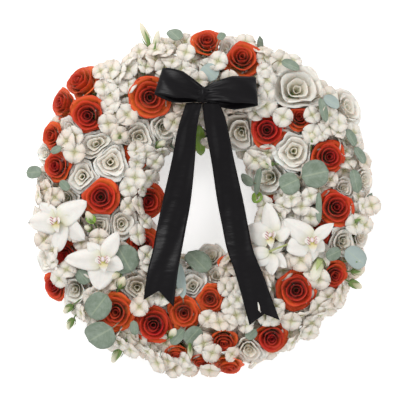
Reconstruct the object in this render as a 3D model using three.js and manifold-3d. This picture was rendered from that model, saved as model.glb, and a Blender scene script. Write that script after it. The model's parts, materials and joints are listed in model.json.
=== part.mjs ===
// A round funeral wreath of fresh flowers, lying face up: a tray ring and a foam ring, with roses,
// lisianthus, hydrangea, orchids and eucalyptus pushed into the foam, and a satin bow over the hole.
import * as THREE from 'three';
import { mergeVertices } from 'three/addons/utils/BufferGeometryUtils.js';
import Module from 'manifold-3d';

const wasm = await Module();
wasm.setup();

// Places are read in plan, in units from the top left corner of a square plan of the wreath.
const PLAN_UNIT = 1.65; // mm
const PLAN_CENTRE = [204, 203];

const GAP = 0.4; // mm between a flower and what is fitted round it
const MID_RADIUS = 190; // of the ring of flowers, mm
const BLOOM_SPREAD = 100; // the blooms' middles lie this far in and out from there
const BLOOM_BASE = 30; // height of the widest level of the ring
const BLOOM_RISE = 64; // and of the topmost middles above it
const COVER_SPREAD = 124; // the ring's outer skin, in the same terms
const COVER_RISE = 86;

const TRAY = { inner: 143, outer: 237, height: 24, wall: 2.5 };
const FOAM = { inner: 147, outer: 233, bottom: 3, top: 50, chamfer: 7 };
const STEM = { radius: 1.8, depth: 20, foot: 26 }; // depth in the foam, foot = height aimed at
const TWIG = { radius: 1.3, sides: 3 };
const RUNNER = { width: 6, heights: [55.5, 62.5, 69.5] }; // long stems that lie under the flowers

const RIBBON = { width: 48, thick: 1, knot: 24 };
const FLORET = { radius: 23, pitch: 38, depth: 12, stalk: 1.4 };
const HUB = { least: 8, most: 20, height: 72, apart: 92, count: 9 }; // middles that the stalks of hydrangeas spring from
const BLADE = 0.9; // thickness of petals and leaves that stand free, mm

const LOOKS = {
  tray: [0x101412, 0.5], foam: [0x2f5a35, 0.95], ribbon: [0x0b090c, 0.35],
  red: [0xc8141c, 0.6], orange: [0xeb6e38, 0.6], white: [0xf0e8e0, 0.65],
  hydrangea: [0xefe9e2, 0.7], orchid: [0xf6f3ef, 0.55], leaf: [0x7d8c76, 0.75],
};

// Roses: name, place in plan, width in plan, lean of the axis in x and y, tone, drop in mm.
const ROSES = [
  ['rose_01', 82, 84, 36, -0.55, 0.5, 'orange', 0],
  ['rose_01', 65, 102, 31, -0.8, 0.15, 'orange', 0],
  ['rose_02', 89, 115, 34, -0.15, -0.1, 'red', 0],
  ['rose_03', 54, 136, 26, -0.6, 0.1, 'orange', 0],
  ['rose_04', 59, 166, 28, -0.5, 0, 'red', 0],
  ['rose_05', 101, 197, 33, 0, 0, 'red', 0],
  ['rose_06', 150, 97, 36, 0.05, -0.1, 'orange', -4],
  ['rose_07', 136, 154, 26, 0.2, 0.05, 'orange', 8],
  ['rose_08', 145, 200, 32, 0.3, -0.2, 'red', 0],
  ['rose_09', 207, 43, 28, 0, 0.5, 'orange', 0],
  ['rose_10', 242, 60, 34, 0, 0.35, 'orange', 0],
  ['rose_11', 267, 130, 33, 0, 0, 'red', 4],
  ['rose_12', 299, 118, 25, 0.1, 0.2, 'orange', 4],
  ['rose_13', 328, 157, 29, 0.15, 0, 'red', 2],
  ['rose_14', 335, 208, 33, 0.15, 0.1, 'red', 0],
  ['rose_15', 276, 209, 27, 0, 0, 'orange', 14],
  ['rose_16', 318, 234, 27, 0.1, -0.1, 'red', 14],
  ['rose_17', 333, 274, 26, 0.3, -0.2, 'orange', 0],
  ['rose_18', 296, 290, 35, 0, 0, 'red', 2],
  ['rose_19', 271, 336, 29, 0.1, -0.35, 'red', 0],
  ['rose_20', 224, 340, 25, 0, -0.55, 'orange', 2],
  ['rose_20', 229, 364, 26, 0, -0.85, 'orange', 0],
  ['rose_21', 202, 360, 19, 0, -0.8, 'orange', 0],
  ['rose_22', 176, 351, 19, 0, -0.8, 'orange', 0],
  ['rose_23', 154, 324, 33, -0.06, -0.08, 'red', 3, 3],
  ['rose_24', 184, 312, 31, 0, -0.1, 'orange', 4],
  ['rose_25', 210, 299, 27, 0, 0, 'orange', 2],
  ['rose_26', 117, 311, 33, -0.15, -0.1, 'orange', 0],
  ['rose_27', 143, 245, 31, 0.15, 0, 'red', 8],
  ['rose_28', 67, 255, 25, -0.4, -0.1, 'red', 8],
  ['rose_29', 56, 286, 27, -0.6, -0.15, 'red', 0],
  ['rose_30', 230, 267, 22, 0.05, 0.3, 'red', 8],
];

// Lisianthus and spray-rose blooms, in the same terms; blooms of one name share a branching stem.
const WHITES = [
  ['lisianthus_01', 164, 127, 23, 0.3, -0.25, 'white', 4],
  ['lisianthus_01', 139, 137, 27, 0.15, -0.1, 'white', 6],
  ['lisianthus_02', 110, 162, 30, 0, 0, 'white', 2],
  ['lisianthus_02', 96, 144, 28, -0.1, 0.1, 'white', 6],
  ['lisianthus_02', 82, 177, 28, -0.1, 0, 'white', 3],
  ['lisianthus_02', 71, 130, 24, -0.4, 0, 'white', 8],
  ['lisianthus_02', 130, 184, 20, 0.2, 0, 'white', 8],
  ['lisianthus_02', 99, 225, 22, 0, 0, 'white', 6],
  ['lisianthus_02', 121, 224, 23, 0.1, 0, 'white', 4],
  ['lisianthus_03', 44, 152, 16, -0.7, 0.1, 'white', 6],
  ['lisianthus_03', 44, 184, 18, -0.7, 0, 'white', 4],
  ['lisianthus_03', 66, 198, 20, -0.3, 0, 'white', 6],
  ['lisianthus_03', 47, 260, 22, -0.75, -0.1, 'white', 4],
  ['lisianthus_04', 74, 290, 25, -0.3, -0.2, 'white', 4],
  ['lisianthus_04', 137, 288, 26, 0, -0.1, 'white', 8],
  ['lisianthus_05', 193, 287, 24, 0, 0.1, 'white', 4],
  ['lisianthus_05', 212, 258, 20, 0, 0.5, 'white', 8],
  ['lisianthus_05', 160, 303, 18, 0, 0, 'white', 16],
  ['lisianthus_05', 217, 277, 17, 0, 0.2, 'white', 8],
  ['lisianthus_05', 236, 305, 19, 0, 0, 'white', 8],
  ['lisianthus_05', 262, 320, 22, 0.1, -0.2, 'white', 12],
  ['lisianthus_05', 249, 350, 26, 0.05, -0.6, 'white', 4],
  ['lisianthus_06', 343, 241, 24, 0.4, -0.1, 'white', 2],
  ['lisianthus_06', 361, 236, 17, 0.75, 0, 'white', 2],
  ['lisianthus_06', 344, 189, 17, 0.35, 0.05, 'white', 6],
  ['lisianthus_06', 365, 179, 17, 0.7, 0.05, 'white', 2],
  ['lisianthus_07', 270, 177, 28, -0.3, 0, 'white', 4],
  ['lisianthus_07', 242, 132, 28, 0, -0.3, 'white', 4],
  ['lisianthus_07', 294, 151, 29, 0, 0, 'white', 3],
  ['lisianthus_08', 225, 49, 20, 0, 0.35, 'white', 5],
  ['lisianthus_08', 297, 90, 37, 0.15, 0.25, 'white', 0],
  ['lisianthus_08', 349, 106, 28, 0.7, 0.3, 'white', 2],
];

// Buds: name, base and tip in plan, width in plan. They belong to the sprays of their names.
const BUDS = [
  ['lisianthus_01', 120, 136, 112, 138, 10], ['lisianthus_01', 156, 147, 166, 141, 8],
  ['lisianthus_01', 153, 60, 158, 28, 8], ['lisianthus_01', 150, 47, 139, 19, 8],
  ['lisianthus_01', 144, 74, 138, 58, 8],
  ['lisianthus_02', 94, 223, 87, 211, 9], ['lisianthus_02', 92, 230, 85, 226, 7],
  ['lisianthus_04', 121, 270, 112, 278, 9], ['lisianthus_04', 119, 288, 125, 276, 9],
  ['lisianthus_04', 72, 306, 62, 314, 8], ['lisianthus_04', 72, 320, 65, 332, 8],
  ['lisianthus_04', 121, 349, 110, 366, 9],
  ['lisianthus_05', 190, 342, 190, 360, 7], ['lisianthus_05', 169, 337, 176, 328, 9],
  ['lisianthus_06', 354, 222, 366, 218, 10], ['lisianthus_06', 350, 262, 363, 262, 8],
  ['lisianthus_06', 352, 272, 366, 272, 8], ['lisianthus_06', 350, 282, 364, 289, 9],
  ['lisianthus_07', 311, 144, 311, 133, 9], ['lisianthus_07', 274, 164, 259, 164, 10],
];

// Leaves: name, base and tip in plan, width in plan, lift of the tip in mm.
const LEAVES = [
  ['eucalyptus_01', 180, 39, 169, 28, 15, 2], ['eucalyptus_01', 203, 66, 216, 80, 18, 1],
  ['eucalyptus_01', 219, 40, 224, 32, 8, 2], ['eucalyptus_01', 281, 62, 299, 70, 13, 2],
  ['eucalyptus_01', 199, 125, 201, 155, 11, -8],
  ['eucalyptus_02', 323, 98, 340, 106, 15, 1], ['eucalyptus_02', 320, 98, 325, 123, 9, 3],
  ['eucalyptus_02', 347, 129, 356, 146, 12, 1], ['eucalyptus_02', 355, 147, 366, 163, 12, 0],
  ['eucalyptus_02', 353, 169, 358, 193, 14, 1], ['eucalyptus_02', 345, 249, 366, 266, 20, 0],
  ['eucalyptus_02', 340, 250, 325, 257, 13, 2],
  ['eucalyptus_03', 299, 179, 280, 188, 22, 3], ['eucalyptus_03', 301, 177, 328, 171, 28, 3],
  ['eucalyptus_03', 254, 183, 241, 176, 13, 0], ['eucalyptus_03', 256, 195, 260, 168, 9, 2],
  ['eucalyptus_03', 263, 196, 252, 199, 11, 0], ['eucalyptus_03', 318, 192, 318, 223, 6, 3],
  ['eucalyptus_04', 208, 272, 188, 252, 26, 3], ['eucalyptus_04', 183, 298, 178, 262, 10, 3],
  ['eucalyptus_04', 200, 327, 186, 343, 17, 1], ['eucalyptus_04', 184, 329, 171, 344, 11, 2],
  ['eucalyptus_04', 256, 329, 246, 338, 11, 1],
  ['eucalyptus_05', 132, 272, 118, 246, 28, 4], ['eucalyptus_05', 89, 283, 78, 270, 15, 2],
  ['eucalyptus_05', 108, 294, 90, 317, 26, 3], ['eucalyptus_05', 113, 327, 88, 342, 31, 1],
  ['eucalyptus_05', 135, 335, 134, 320, 9, 2],
  ['eucalyptus_06', 41, 172, 24, 172, 13, 0],
  ['eucalyptus_06', 62, 148, 51, 152, 8, 2], ['eucalyptus_06', 70, 190, 61, 181, 9, 2],
  ['eucalyptus_06', 96, 222, 87, 216, 9, 2],
];

// Tepals overlap in layers, each this far below the foremost, mm.
const TEPAL_LAYERS = [0, 2.5, 0, 2.5, 3.6];
// Orchids: name, middle in plan, then each tepal's tip from the middle in plan and its width.
const ORCHIDS = [
  ['orchid_left', 58, 220, [[-31, -3, 23], [-19, 17, 14], [29, 19, 21], [27, -20, 21], [0, -32, 21]]],
  ['orchid_left', 104, 259, [[-39, 0, 20], [-16, 17, 13], [15, 28, 15], [20, -9, 16], [-5, -31, 26]]],
  ['orchid_right', 272, 236, [[-28, 7, 25], [-6, 34, 19], [19, 14, 20]]],
  ['orchid_right', 311, 240, [[-28, 21, 19], [-25, -10, 24], [22, 17, 11], [13, -11, 13], [0, -22, 13]]],
  ['orchid_right', 270, 252, [[-24, -1, 12], [-17, -13, 14], [1, -23, 14], [16, -15, 12], [14, 12, 10]]],
];

const LIP = 7; // radius of an orchid's lip, mm
const ORCHID_BUDS = [['orchid_right', 320, 258, 312, 281, 16]];

// The two tails: left and right edges in plan at each step, and the height there.
const TAIL_LEFT = [
  [186, 202, 104, 123], [178, 197, 130, 118], [172, 195, 160, 108], [163, 191, 200, 103],
  [157, 186, 228, 106], [153, 182, 250, 114], [148, 178, 272, 120], [144, 174, 296, 121],
];
const TAIL_RIGHT = [
  [203, 219, 104, 124], [204, 226, 122, 119], [211, 234, 160, 109], [217, 243, 200, 104],
  [222, 248, 226, 107], [227, 253, 250, 114], [236, 263, 276, 119], [246, 276, 310, 120],
];
const NOTCH = { left: [[143, 299], [159, 290], [173, 306]], right: [[249, 324], [261, 313], [278, 319]] };
const BOW_HEIGHT = 124;

const random = seeded(11);

// A repeatable source of numbers from 0 to 1.
function seeded(start) {
  let state = start;
  return () => {
    state = (state * 1664525 + 1013904223) % 4294967296;
    return state / 4294967296;
  };
}

function inPlan(px, py, z = 0) {
  return new THREE.Vector3((px - PLAN_CENTRE[0]) * PLAN_UNIT, (PLAN_CENTRE[1] - py) * PLAN_UNIT, z);
}

// Height of the ring's rounded section at a distance from the middle of the hole.
function arch(radius, spread, rise) {
  const off = Math.min(0.97, Math.abs(radius - MID_RADIUS) / spread);
  return BLOOM_BASE + rise * Math.sqrt(1 - off * off);
}

function radiusOf(point) {
  return Math.hypot(point.x, point.y);
}

// The way the ring's surface faces at a point.
function outward(point) {
  const radius = radiusOf(point);
  const off = THREE.MathUtils.clamp((radius - MID_RADIUS) / BLOOM_SPREAD, -0.95, 0.95);
  const side = new THREE.Vector3(point.x, point.y, 0).divideScalar(radius);
  return side.multiplyScalar(off * 0.8).add(new THREE.Vector3(0, 0, Math.sqrt(1 - off * off * 0.8))).normalize();
}

// The point inside the foam that a stem is aimed at.
function footOf(point) {
  const radius = THREE.MathUtils.clamp(radiusOf(point), FOAM.inner + 18, FOAM.outer - 18);
  return new THREE.Vector3(point.x, point.y, 0).setLength(radius).setZ(STEM.foot);
}

// A closed body from its vertices and its faces of three or four corners.
function bodyOf(vertices, faces) {
  const geometry = new THREE.BufferGeometry();
  const index = faces.flatMap((f) => (f.length === 3 ? f : [f[0], f[1], f[2], f[0], f[2], f[3]]));
  geometry.setAttribute('position', new THREE.Float32BufferAttribute(vertices.flatMap((v) => [v.x, v.y, v.z]), 3));
  geometry.setIndex(index);
  return geometry;
}

function solidOf(geometry) {
  const bare = new THREE.BufferGeometry();
  bare.setAttribute('position', geometry.getAttribute('position'));
  bare.setIndex(geometry.index);
  const merged = mergeVertices(bare, 1e-4);
  const triVerts = new Uint32Array(merged.index.array);
  return new wasm.Manifold(new wasm.Mesh({ numProp: 3, vertProperties: merged.attributes.position.array, triVerts }));
}

// A solid's surface with its corners on a fine grid, which closes slivers left by cutting. Where the
// surface touches itself, its corners draw in a little.
function geometryOf(solid) {
  const mesh = solid.getMesh();
  const inward = inwardOf(mesh);
  for (const shrink of [0, 0.03, 0.06, 0.1, 0.15]) {
    for (const grid of [0.01, 0.005, 0.02, 0.04]) {
      const geometry = new THREE.BufferGeometry();
      const corners = Float32Array.from(mesh.vertProperties, (value, k) => (
        Math.round((value + inward[k] * shrink) / grid) * grid));
      geometry.setAttribute('position', new THREE.BufferAttribute(corners, 3));
      geometry.setIndex(new THREE.BufferAttribute(new Uint32Array(mesh.triVerts), 1));
      const merged = mergeVertices(geometry, grid / 4);
      merged.setIndex(wholeFaces(merged.index.array));
      if (isClosed(merged)) return merged;
    }
  }
  throw new Error('a body does not close');
}

// The way into the solid at each corner of its mesh.
function inwardOf({ vertProperties, triVerts }) {
  const sums = new Float32Array(vertProperties.length);
  const corner = (k) => new THREE.Vector3().fromArray(vertProperties, triVerts[k] * 3);
  for (let k = 0; k < triVerts.length; k += 3) {
    const normal = new THREE.Triangle(corner(k), corner(k + 1), corner(k + 2)).getNormal(new THREE.Vector3());
    for (const vertex of triVerts.slice(k, k + 3)) {
      normal.toArray().forEach((value, axis) => { sums[vertex * 3 + axis] -= value; });
    }
  }
  for (let k = 0; k < sums.length; k += 3) {
    new THREE.Vector3().fromArray(sums, k).normalize().toArray(sums, k);
  }
  return sums;
}

// The faces that have three corners, without pairs that lie back to back.
function wholeFaces(index) {
  const faces = new Map();
  for (let k = 0; k < index.length; k += 3) {
    const face = [...index.slice(k, k + 3)];
    if (new Set(face).size < 3) continue;
    const key = [...face].sort((a, b) => a - b).join('_');
    if (faces.has(key)) faces.delete(key);
    else faces.set(key, face);
  }
  return [...faces.values()].flat();
}

// Whether each edge of a surface borders two faces that turn it opposite ways.
function isClosed(geometry) {
  const edges = new Map();
  for (let k = 0; k < geometry.index.count; k += 3) {
    for (let side = 0; side < 3; side += 1) {
      const from = geometry.index.getX(k + side);
      const to = geometry.index.getX(k + ((side + 1) % 3));
      const key = `${Math.min(from, to)}_${Math.max(from, to)}`;
      edges.set(key, [...(edges.get(key) ?? []), from < to]);
    }
  }
  return [...edges.values()].every((ways) => ways.length === 2 && ways[0] !== ways[1]);
}

// A straight stem between two points, sunk a little way into what it meets.
function rod(from, to, radius, sides) {
  const along = new THREE.Vector3().subVectors(to, from);
  const geometry = new THREE.CylinderGeometry(radius, radius, along.length() + radius, sides);
  geometry.applyQuaternion(new THREE.Quaternion().setFromUnitVectors(new THREE.Vector3(0, 1, 0), along.normalize()));
  const middle = new THREE.Vector3().addVectors(from, to).multiplyScalar(0.5);
  return solidOf(geometry.translate(middle.x, middle.y, middle.z));
}

// A stem of several straight lengths, as one closed body.
function tube(points, radius, sides) {
  const vertices = [];
  points.forEach((point, k) => {
    const along = new THREE.Vector3().subVectors(
      points[Math.min(k + 1, points.length - 1)], points[Math.max(k - 1, 0)]).normalize();
    const [across, upright] = basisOf(along, 0);
    for (let side = 0; side < sides; side += 1) {
      const angle = (side / sides) * 2 * Math.PI;
      const corner = point.clone().addScaledVector(across, radius * Math.cos(angle));
      vertices.push(corner.addScaledVector(upright, radius * Math.sin(angle)));
    }
  });
  return solidOf(bodyOf(vertices, tubeFaces(points.length, sides)));
}

function tubeFaces(rings, sides) {
  const faces = [];
  for (let ring = 0; ring < rings - 1; ring += 1) {
    for (let side = 0; side < sides; side += 1) {
      const here = ring * sides;
      const next = (side + 1) % sides;
      faces.push([here + side, here + next, here + sides + next, here + sides + side]);
    }
  }
  const end = (rings - 1) * sides;
  for (let side = 1; side < sides - 1; side += 1) {
    faces.push([0, side + 1, side], [end, end + side, end + side + 1]);
  }
  return faces;
}

// Blooms
// Each bloom is a cup closed by one petal edge that winds out from its middle in a spiral.

const FORMS = {
  rose: { spread: 1.18, sides: 6, steps: 15, first: 0.08, last: 0.86, top: 0.62, fall: 0.4, dip: 0.17, wave: 0.05 },
  white: { spread: 1.42, sides: 6, steps: 10, first: 0.14, last: 0.84, top: 0.3, fall: -0.1, dip: 0.2, wave: 0.09 },
};
// The outline that holds a bloom: height and radius, for a bloom one unit in radius.
const OUTLINE = [[-0.86, 0], [-0.8, 0.13], [-0.42, 0.74], [0.28, 1.03], [0.66, 0.78], [0.74, 0]];

function siteOf([name, px, py, width, leanX, leanY, tone, drop, turned = 0], form) {
  const centre = inPlan(px, py);
  centre.z = arch(radiusOf(centre), BLOOM_SPREAD, BLOOM_RISE) - drop;
  const axis = new THREE.Vector3(leanX, leanY, Math.sqrt(1 - leanX * leanX - leanY * leanY));
  const firm = (width / 2) * PLAN_UNIT * 1.05;
  return { name, form, tone, centre, axis, firm, radius: firm * FORMS[form].spread, turn: random() * 6.28 + turned };
}

const sites = [...ROSES.map((row) => siteOf(row, 'rose')), ...WHITES.map((row) => siteOf(row, 'white'))];

// Outer petals spread into the free space round a bloom. Where two blooms meet, each gives way to
// the plane between their firm middles.
for (const site of sites) {
  site.walls = [];
  for (const other of sites) {
    const apart = new THREE.Vector3().subVectors(other.centre, site.centre);
    const distance = apart.length();
    if (other === site || distance > site.radius + other.radius + 1) continue;
    const reach = (distance ** 2 + site.firm ** 2 - other.firm ** 2) / (2 * distance) - GAP / 2;
    site.walls.push({ way: apart.divideScalar(distance), reach });
  }
}

// The share of its full size that a bloom has in some direction.
function shareOf(site, offset) {
  const length = Math.max(offset.length(), 1e-6);
  let share = 1;
  for (const { way, reach } of site.walls) {
    const toward = offset.dot(way) / length;
    if (toward > 0) share = Math.min(share, reach / (toward * site.radius));
  }
  return share;
}

function pressed(site, unit) {
  return unit.clone().multiplyScalar(site.radius * shareOf(site, unit)).add(site.centre);
}

function basisOf(axis, turn) {
  const across = new THREE.Vector3(1, 0, 0).cross(axis).normalize().applyAxisAngle(axis, turn);
  return [across, new THREE.Vector3().crossVectors(axis, across)];
}

// Closes the strip between two loops of corners that run the same way round.
function zipped(outer, inner) {
  const faces = [];
  let i = 0;
  let j = 0;
  while (i < outer.length || j < inner.length) {
    const a = outer[i % outer.length];
    const b = inner[j % inner.length];
    if (j >= inner.length || (i < outer.length && (i + 1) / outer.length <= (j + 0.5) / inner.length)) {
      i += 1;
      faces.push([outer[i % outer.length], a, b]);
    } else {
      j += 1;
      faces.push([a, b, inner[j % inner.length]]);
    }
  }
  return faces;
}

// Runs a three-sided stalk on from a loop of corners, along a path that starts near it.
function addStalk(vertices, faces, loop, path, down, across, upright, start, radius) {
  let outer = loop;
  path.forEach((spot, k) => {
    const way = new THREE.Vector3().subVectors(path[Math.min(k + 1, path.length - 1)], path[Math.max(k - 1, 0)]);
    const turned = new THREE.Quaternion().setFromUnitVectors(down, way.normalize());
    const ring = [0, 1, 2].map((side) => {
      const angle = start + (side / 3) * 2 * Math.PI;
      const offset = across.clone().multiplyScalar(Math.cos(angle)).addScaledVector(upright, Math.sin(angle));
      vertices.push(offset.multiplyScalar(radius).applyQuaternion(turned).add(spot));
      return vertices.length - 1;
    });
    faces.push(...zipped(outer, ring));
    outer = ring;
  });
  faces.push([outer[0], outer[2], outer[1]]);
}

function bloomBody(site, path, radius) {
  const form = FORMS[site.form];
  const { sides, steps } = form;
  const [across, upright] = basisOf(site.axis, site.turn);
  const vertices = [];
  const put = (radius, angle, height) => {
    const unit = across.clone().multiplyScalar(radius * Math.cos(angle));
    unit.addScaledVector(upright, radius * Math.sin(angle)).addScaledVector(site.axis, height);
    vertices.push(pressed(site, unit));
    return vertices.length - 1;
  };
  const groove = [];
  const rim = [];
  for (let n = 0; n <= steps; n += 1) {
    const part = 1 - (1 - n / steps) ** 1.6;
    const angle = (n / sides) * 2 * Math.PI;
    const radius = form.first + (form.last - form.first) * part;
    const wave = form.wave * Math.cos(angle * 1.9);
    groove.push(put(radius, angle, form.top - form.fall * radius ** 2 - form.dip));
    rim.push(put(radius + 0.09 + wave * 0.4, angle, form.top - form.fall * radius ** 2 + wave));
  }
  const middle = put(0, 0, form.top - form.dip * 0.5);
  const faces = [];
  for (let n = 0; n < steps; n += 1) faces.push([groove[n], rim[n], rim[n + 1], groove[n + 1]]);
  for (let n = 0; n < steps - sides; n += 1) {
    faces.push([rim[n], groove[n + sides], groove[n + sides + 1], rim[n + 1]]);
  }
  for (let n = 0; n < sides; n += 1) faces.push([middle, groove[n], groove[n + 1]]);
  faces.push([middle, groove[sides], rim[0]], [middle, rim[0], groove[0]]);
  const loop = rim.slice(steps - sides);
  const start = ((steps - sides) / sides) * 2 * Math.PI;
  const ring = loop.slice(1).map((_, k) => put(0.68, start + (k / sides) * 2 * Math.PI, -0.42));
  ring.forEach((_, k) => faces.push([loop[k + 1], loop[k], ring[k], ring[(k + 1) % sides]]));
  faces.push([groove[steps], loop[sides], ring[0]], [loop[0], groove[steps], ring[0]]);
  addStalk(vertices, faces, ring, path, site.axis.clone().negate(), across, upright, start, radius);
  return solidOf(bodyOf(vertices, faces));
}

function baseOf(site) {
  return site.centre.clone().addScaledVector(site.axis, -0.8 * site.radius);
}

// The plain shape round a bloom, which what lies beside it is cut to.
function jacketOf(site) {
  const profile = OUTLINE.map(([height, radius]) => new THREE.Vector2(
    radius === 0 ? 0 : (radius * site.radius + GAP) * 1.083, height * site.radius + GAP * Math.sign(height)));
  const geometry = new THREE.LatheGeometry(profile, 8);
  geometry.applyQuaternion(new THREE.Quaternion().setFromUnitVectors(new THREE.Vector3(0, 1, 0), site.axis));
  return solidOf(geometry.translate(site.centre.x, site.centre.y, site.centre.z));
}

function outlineAt(height) {
  for (let k = 1; k < OUTLINE.length; k += 1) {
    const [low, lowRadius] = OUTLINE[k - 1];
    const [high, highRadius] = OUTLINE[k];
    if (height <= high) return THREE.MathUtils.mapLinear(height, low, high, lowRadius, highRadius);
  }
  return 0;
}

// How far a point is clear of every bloom's outline, roughly, in mm.
function clearOfBlooms(point, besides) {
  let least = 50;
  for (const site of sites) {
    if (besides && site.name === besides) continue;
    const offset = new THREE.Vector3().subVectors(point, site.centre);
    if (offset.length() > site.radius + 40) continue;
    const height = offset.dot(site.axis);
    const across = Math.sqrt(Math.max(0, offset.lengthSq() - height * height));
    const size = site.radius * shareOf(site, offset);
    const over = Math.max(height - 0.74 * size, -0.86 * size - height);
    const unit = THREE.MathUtils.clamp(height / size, -0.86, 0.74);
    const beside = across - outlineAt(unit) * size - GAP;
    least = Math.min(least, over > 0 ? Math.hypot(over, Math.max(0, beside)) : beside);
  }
  return least;
}

// Stems that already stand, as a line with a radius each.
const standing = [];

function clearOfStems(a, b, besides) {
  let least = 50;
  for (const stem of standing) {
    if (stem.name === besides) continue;
    least = Math.min(least, betweenLines(a, b, stem.from, stem.to) - stem.radius);
  }
  return least;
}

// The least distance between two straight stems.
function betweenLines(a, b, c, d) {
  let least = Infinity;
  const line = new THREE.Line3(c, d);
  const near = new THREE.Vector3();
  if (a === b) return line.closestPointToPoint(a, true, near).distanceTo(a);
  for (let k = 0; k <= 8; k += 1) {
    const point = new THREE.Vector3().lerpVectors(a, b, k / 8);
    least = Math.min(least, line.closestPointToPoint(point, true, near).distanceTo(point));
  }
  return least;
}

// How far a point is above the foam, where the foam lies under it.
function overFoam(point) {
  const radius = radiusOf(point);
  return radius > TRAY.inner - 3 && radius < TRAY.outer + 3 ? point.z - FOAM.top - 1 : 50;
}

function clearance(a, b, besides) {
  let least = clearOfStems(a, b, besides);
  for (let k = 0; k <= 6; k += 1) {
    const point = new THREE.Vector3().lerpVectors(a, b, k / 6);
    least = Math.min(least, clearOfBlooms(point, besides), overFoam(point));
  }
  return least;
}

// Parts of the wreath, by name, each with its solid, its tone and the jackets of what it holds.
const parts = new Map();

function partOf(name, tone) {
  if (!parts.has(name)) parts.set(name, { name, tone, pieces: [], jackets: [], joints: [] });
  return parts.get(name);
}

const holes = [];

// A stem down into the foam from a point, with the hole that it stands in.
function plant(part, from, radius, foot, made = true) {
  if (made) part.pieces.push(tube([from, foot], radius * 1.2, 4));
  part.jackets.push(rod(from, foot, (radius + GAP) * 1.5, 4));
  const beyond = new THREE.Vector3().subVectors(foot, from).setLength(2).add(foot);
  holes.push(rod(from, beyond, (radius + GAP) * 2.1, 3));
  standing.push({ name: part.name, from, to: foot, radius });
}

for (const site of sites) {
  const part = partOf(site.name, site.tone);
  part.jackets.push(jacketOf(site));
  if (site.form !== 'rose') continue;
  part.foot ??= footOf(baseOf(site));
  part.pieces.push(bloomBody(site, [baseOf(site), part.foot], STEM.radius));
  plant(part, baseOf(site), STEM.radius, part.foot, false);
}

// Sprays
// The stems of a spray branch from a runner that lies on the foam under the flowers.

function around(radius, angle, height) {
  return new THREE.Vector3(radius * Math.cos(angle), radius * Math.sin(angle), height);
}

// The run of a runner, by its radius at either end and its height, that meets the fewest stems.
function clearestRun(first, last, besides) {
  let best = { cost: Infinity };
  const steps = Math.max(4, Math.ceil((last - first) / 0.03));
  for (const height of RUNNER.heights) {
    for (let from = FOAM.inner + 12; from <= FOAM.outer - 12; from += 5) {
      for (let to = FOAM.inner + 12; to <= FOAM.outer - 12; to += 5) {
        let cost = Math.abs((from + to) / 2 - MID_RADIUS) / 60;
        for (let k = 0; k <= steps && cost < best.cost; k += 1) {
          const point = around(from + ((to - from) * k) / steps, first + ((last - first) * k) / steps, height);
          if (clearOfStems(point, point, besides) < RUNNER.width / 2 + GAP) cost += 1;
        }
        if (cost < best.cost) best = { cost, from, to, height };
      }
    }
  }
  return best;
}

function layRunner(part, ends) {
  const angles = ends.map((end) => Math.atan2(end.y, end.x));
  const facing = Math.atan2(...ends.reduce((sum, end) => [sum[0] + end.y, sum[1] + end.x], [0, 0]));
  const offsets = angles.map((angle) => Math.atan2(Math.sin(angle - facing), Math.cos(angle - facing)));
  const first = facing + Math.min(...offsets) - 0.04;
  const last = facing + Math.max(...offsets) + 0.04;
  const { from, to, height } = clearestRun(first, last, part.name);
  const steps = Math.max(2, Math.ceil((last - first) / 0.35));
  const points = Array.from({ length: steps + 1 }, (_, k) => (
    around(from + ((to - from) * k) / steps, first + ((last - first) * k) / steps, height)));
  const spotAt = (share) => {
    const k = Math.min(Math.floor(share * steps), steps - 1);
    return points[k].clone().lerp(points[k + 1], share * steps - k);
  };
  part.pieces.push(tube(points, RUNNER.width / 2, 4));
  for (let k = 0; k < steps; k += 1) {
    part.jackets.push(rod(points[k], points[k + 1], RUNNER.width / 2 + 1.4, 5));
    standing.push({ name: part.name, from: points[k], to: points[k + 1], radius: RUNNER.width / 2 });
  }
  const middle = points[Math.round(steps / 2)];
  plant(part, middle, STEM.radius, middle.clone().setZ(FOAM.top - STEM.depth));
  return { first, last, spotAt };
}

// How far the turns of a way are sharper than a stalk can take.
function turnOf(down, base, bend, foot) {
  const ways = [down, new THREE.Vector3().subVectors(bend, base), new THREE.Vector3().subVectors(foot, bend)];
  const [start, first, second] = ways.filter((way) => way.lengthSq() > 0.5).map((way) => way.clone().normalize());
  const sharpest = Math.min(start.dot(first), second ? first.dot(second) : 1);
  return Math.max(0, 0.25 - sharpest);
}

// The clearest of many ways from a flower's base to one of the feet, with one bend at most.
function clearWay(base, feet, name, back = new THREE.Vector3()) {
  let best = { score: -Infinity };
  const angle = Math.atan2(base.y, base.x);
  const down = outward(base).multiplyScalar(-1);
  const bends = [base.clone()];
  for (const depth of [0, 9, 18, 30, 42]) {
    for (let side = -36; side <= 36; side += 9) {
      for (const behind of back.lengthSq() > 0 ? [0, 14, 28] : [0]) {
        const bend = base.clone().addScaledVector(down, depth).addScaledVector(back, behind);
        bends.push(bend.add(around(side, angle + Math.PI / 2, 0)));
      }
    }
  }
  // A low flower's stem goes up over the edge of the foam.
  const edge = radiusOf(base) < MID_RADIUS ? TRAY.inner - 5 : TRAY.outer + 5;
  for (let side = -0.2; side <= 0.2; side += 0.08) bends.push(around(edge, angle + side, FOAM.top + 7));
  for (const bend of bends) {
    const first = clearance(base, bend, name);
    if (first < best.score) continue;
    for (const foot of feet) {
      const clear = Math.min(first, clearance(bend, foot, name));
      const turn = turnOf(down, base, bend, foot);
      const score = Math.min(clear, 2.2) - 0.008 * (base.distanceTo(bend) + bend.distanceTo(foot)) - 4 * turn;
      if (score > best.score) best = { score, clear, path: bend === bends[0] ? [base, foot] : [base, bend, foot] };
    }
  }
  // Stalks that join at one place end a little apart, so that no two of their corners coincide.
  const shift = new THREE.Vector3(random() - 0.5, random() - 0.5, random() - 0.5).multiplyScalar(TWIG.radius);
  best.path.push(best.path.pop().clone().add(shift));
  return best;
}

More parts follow.
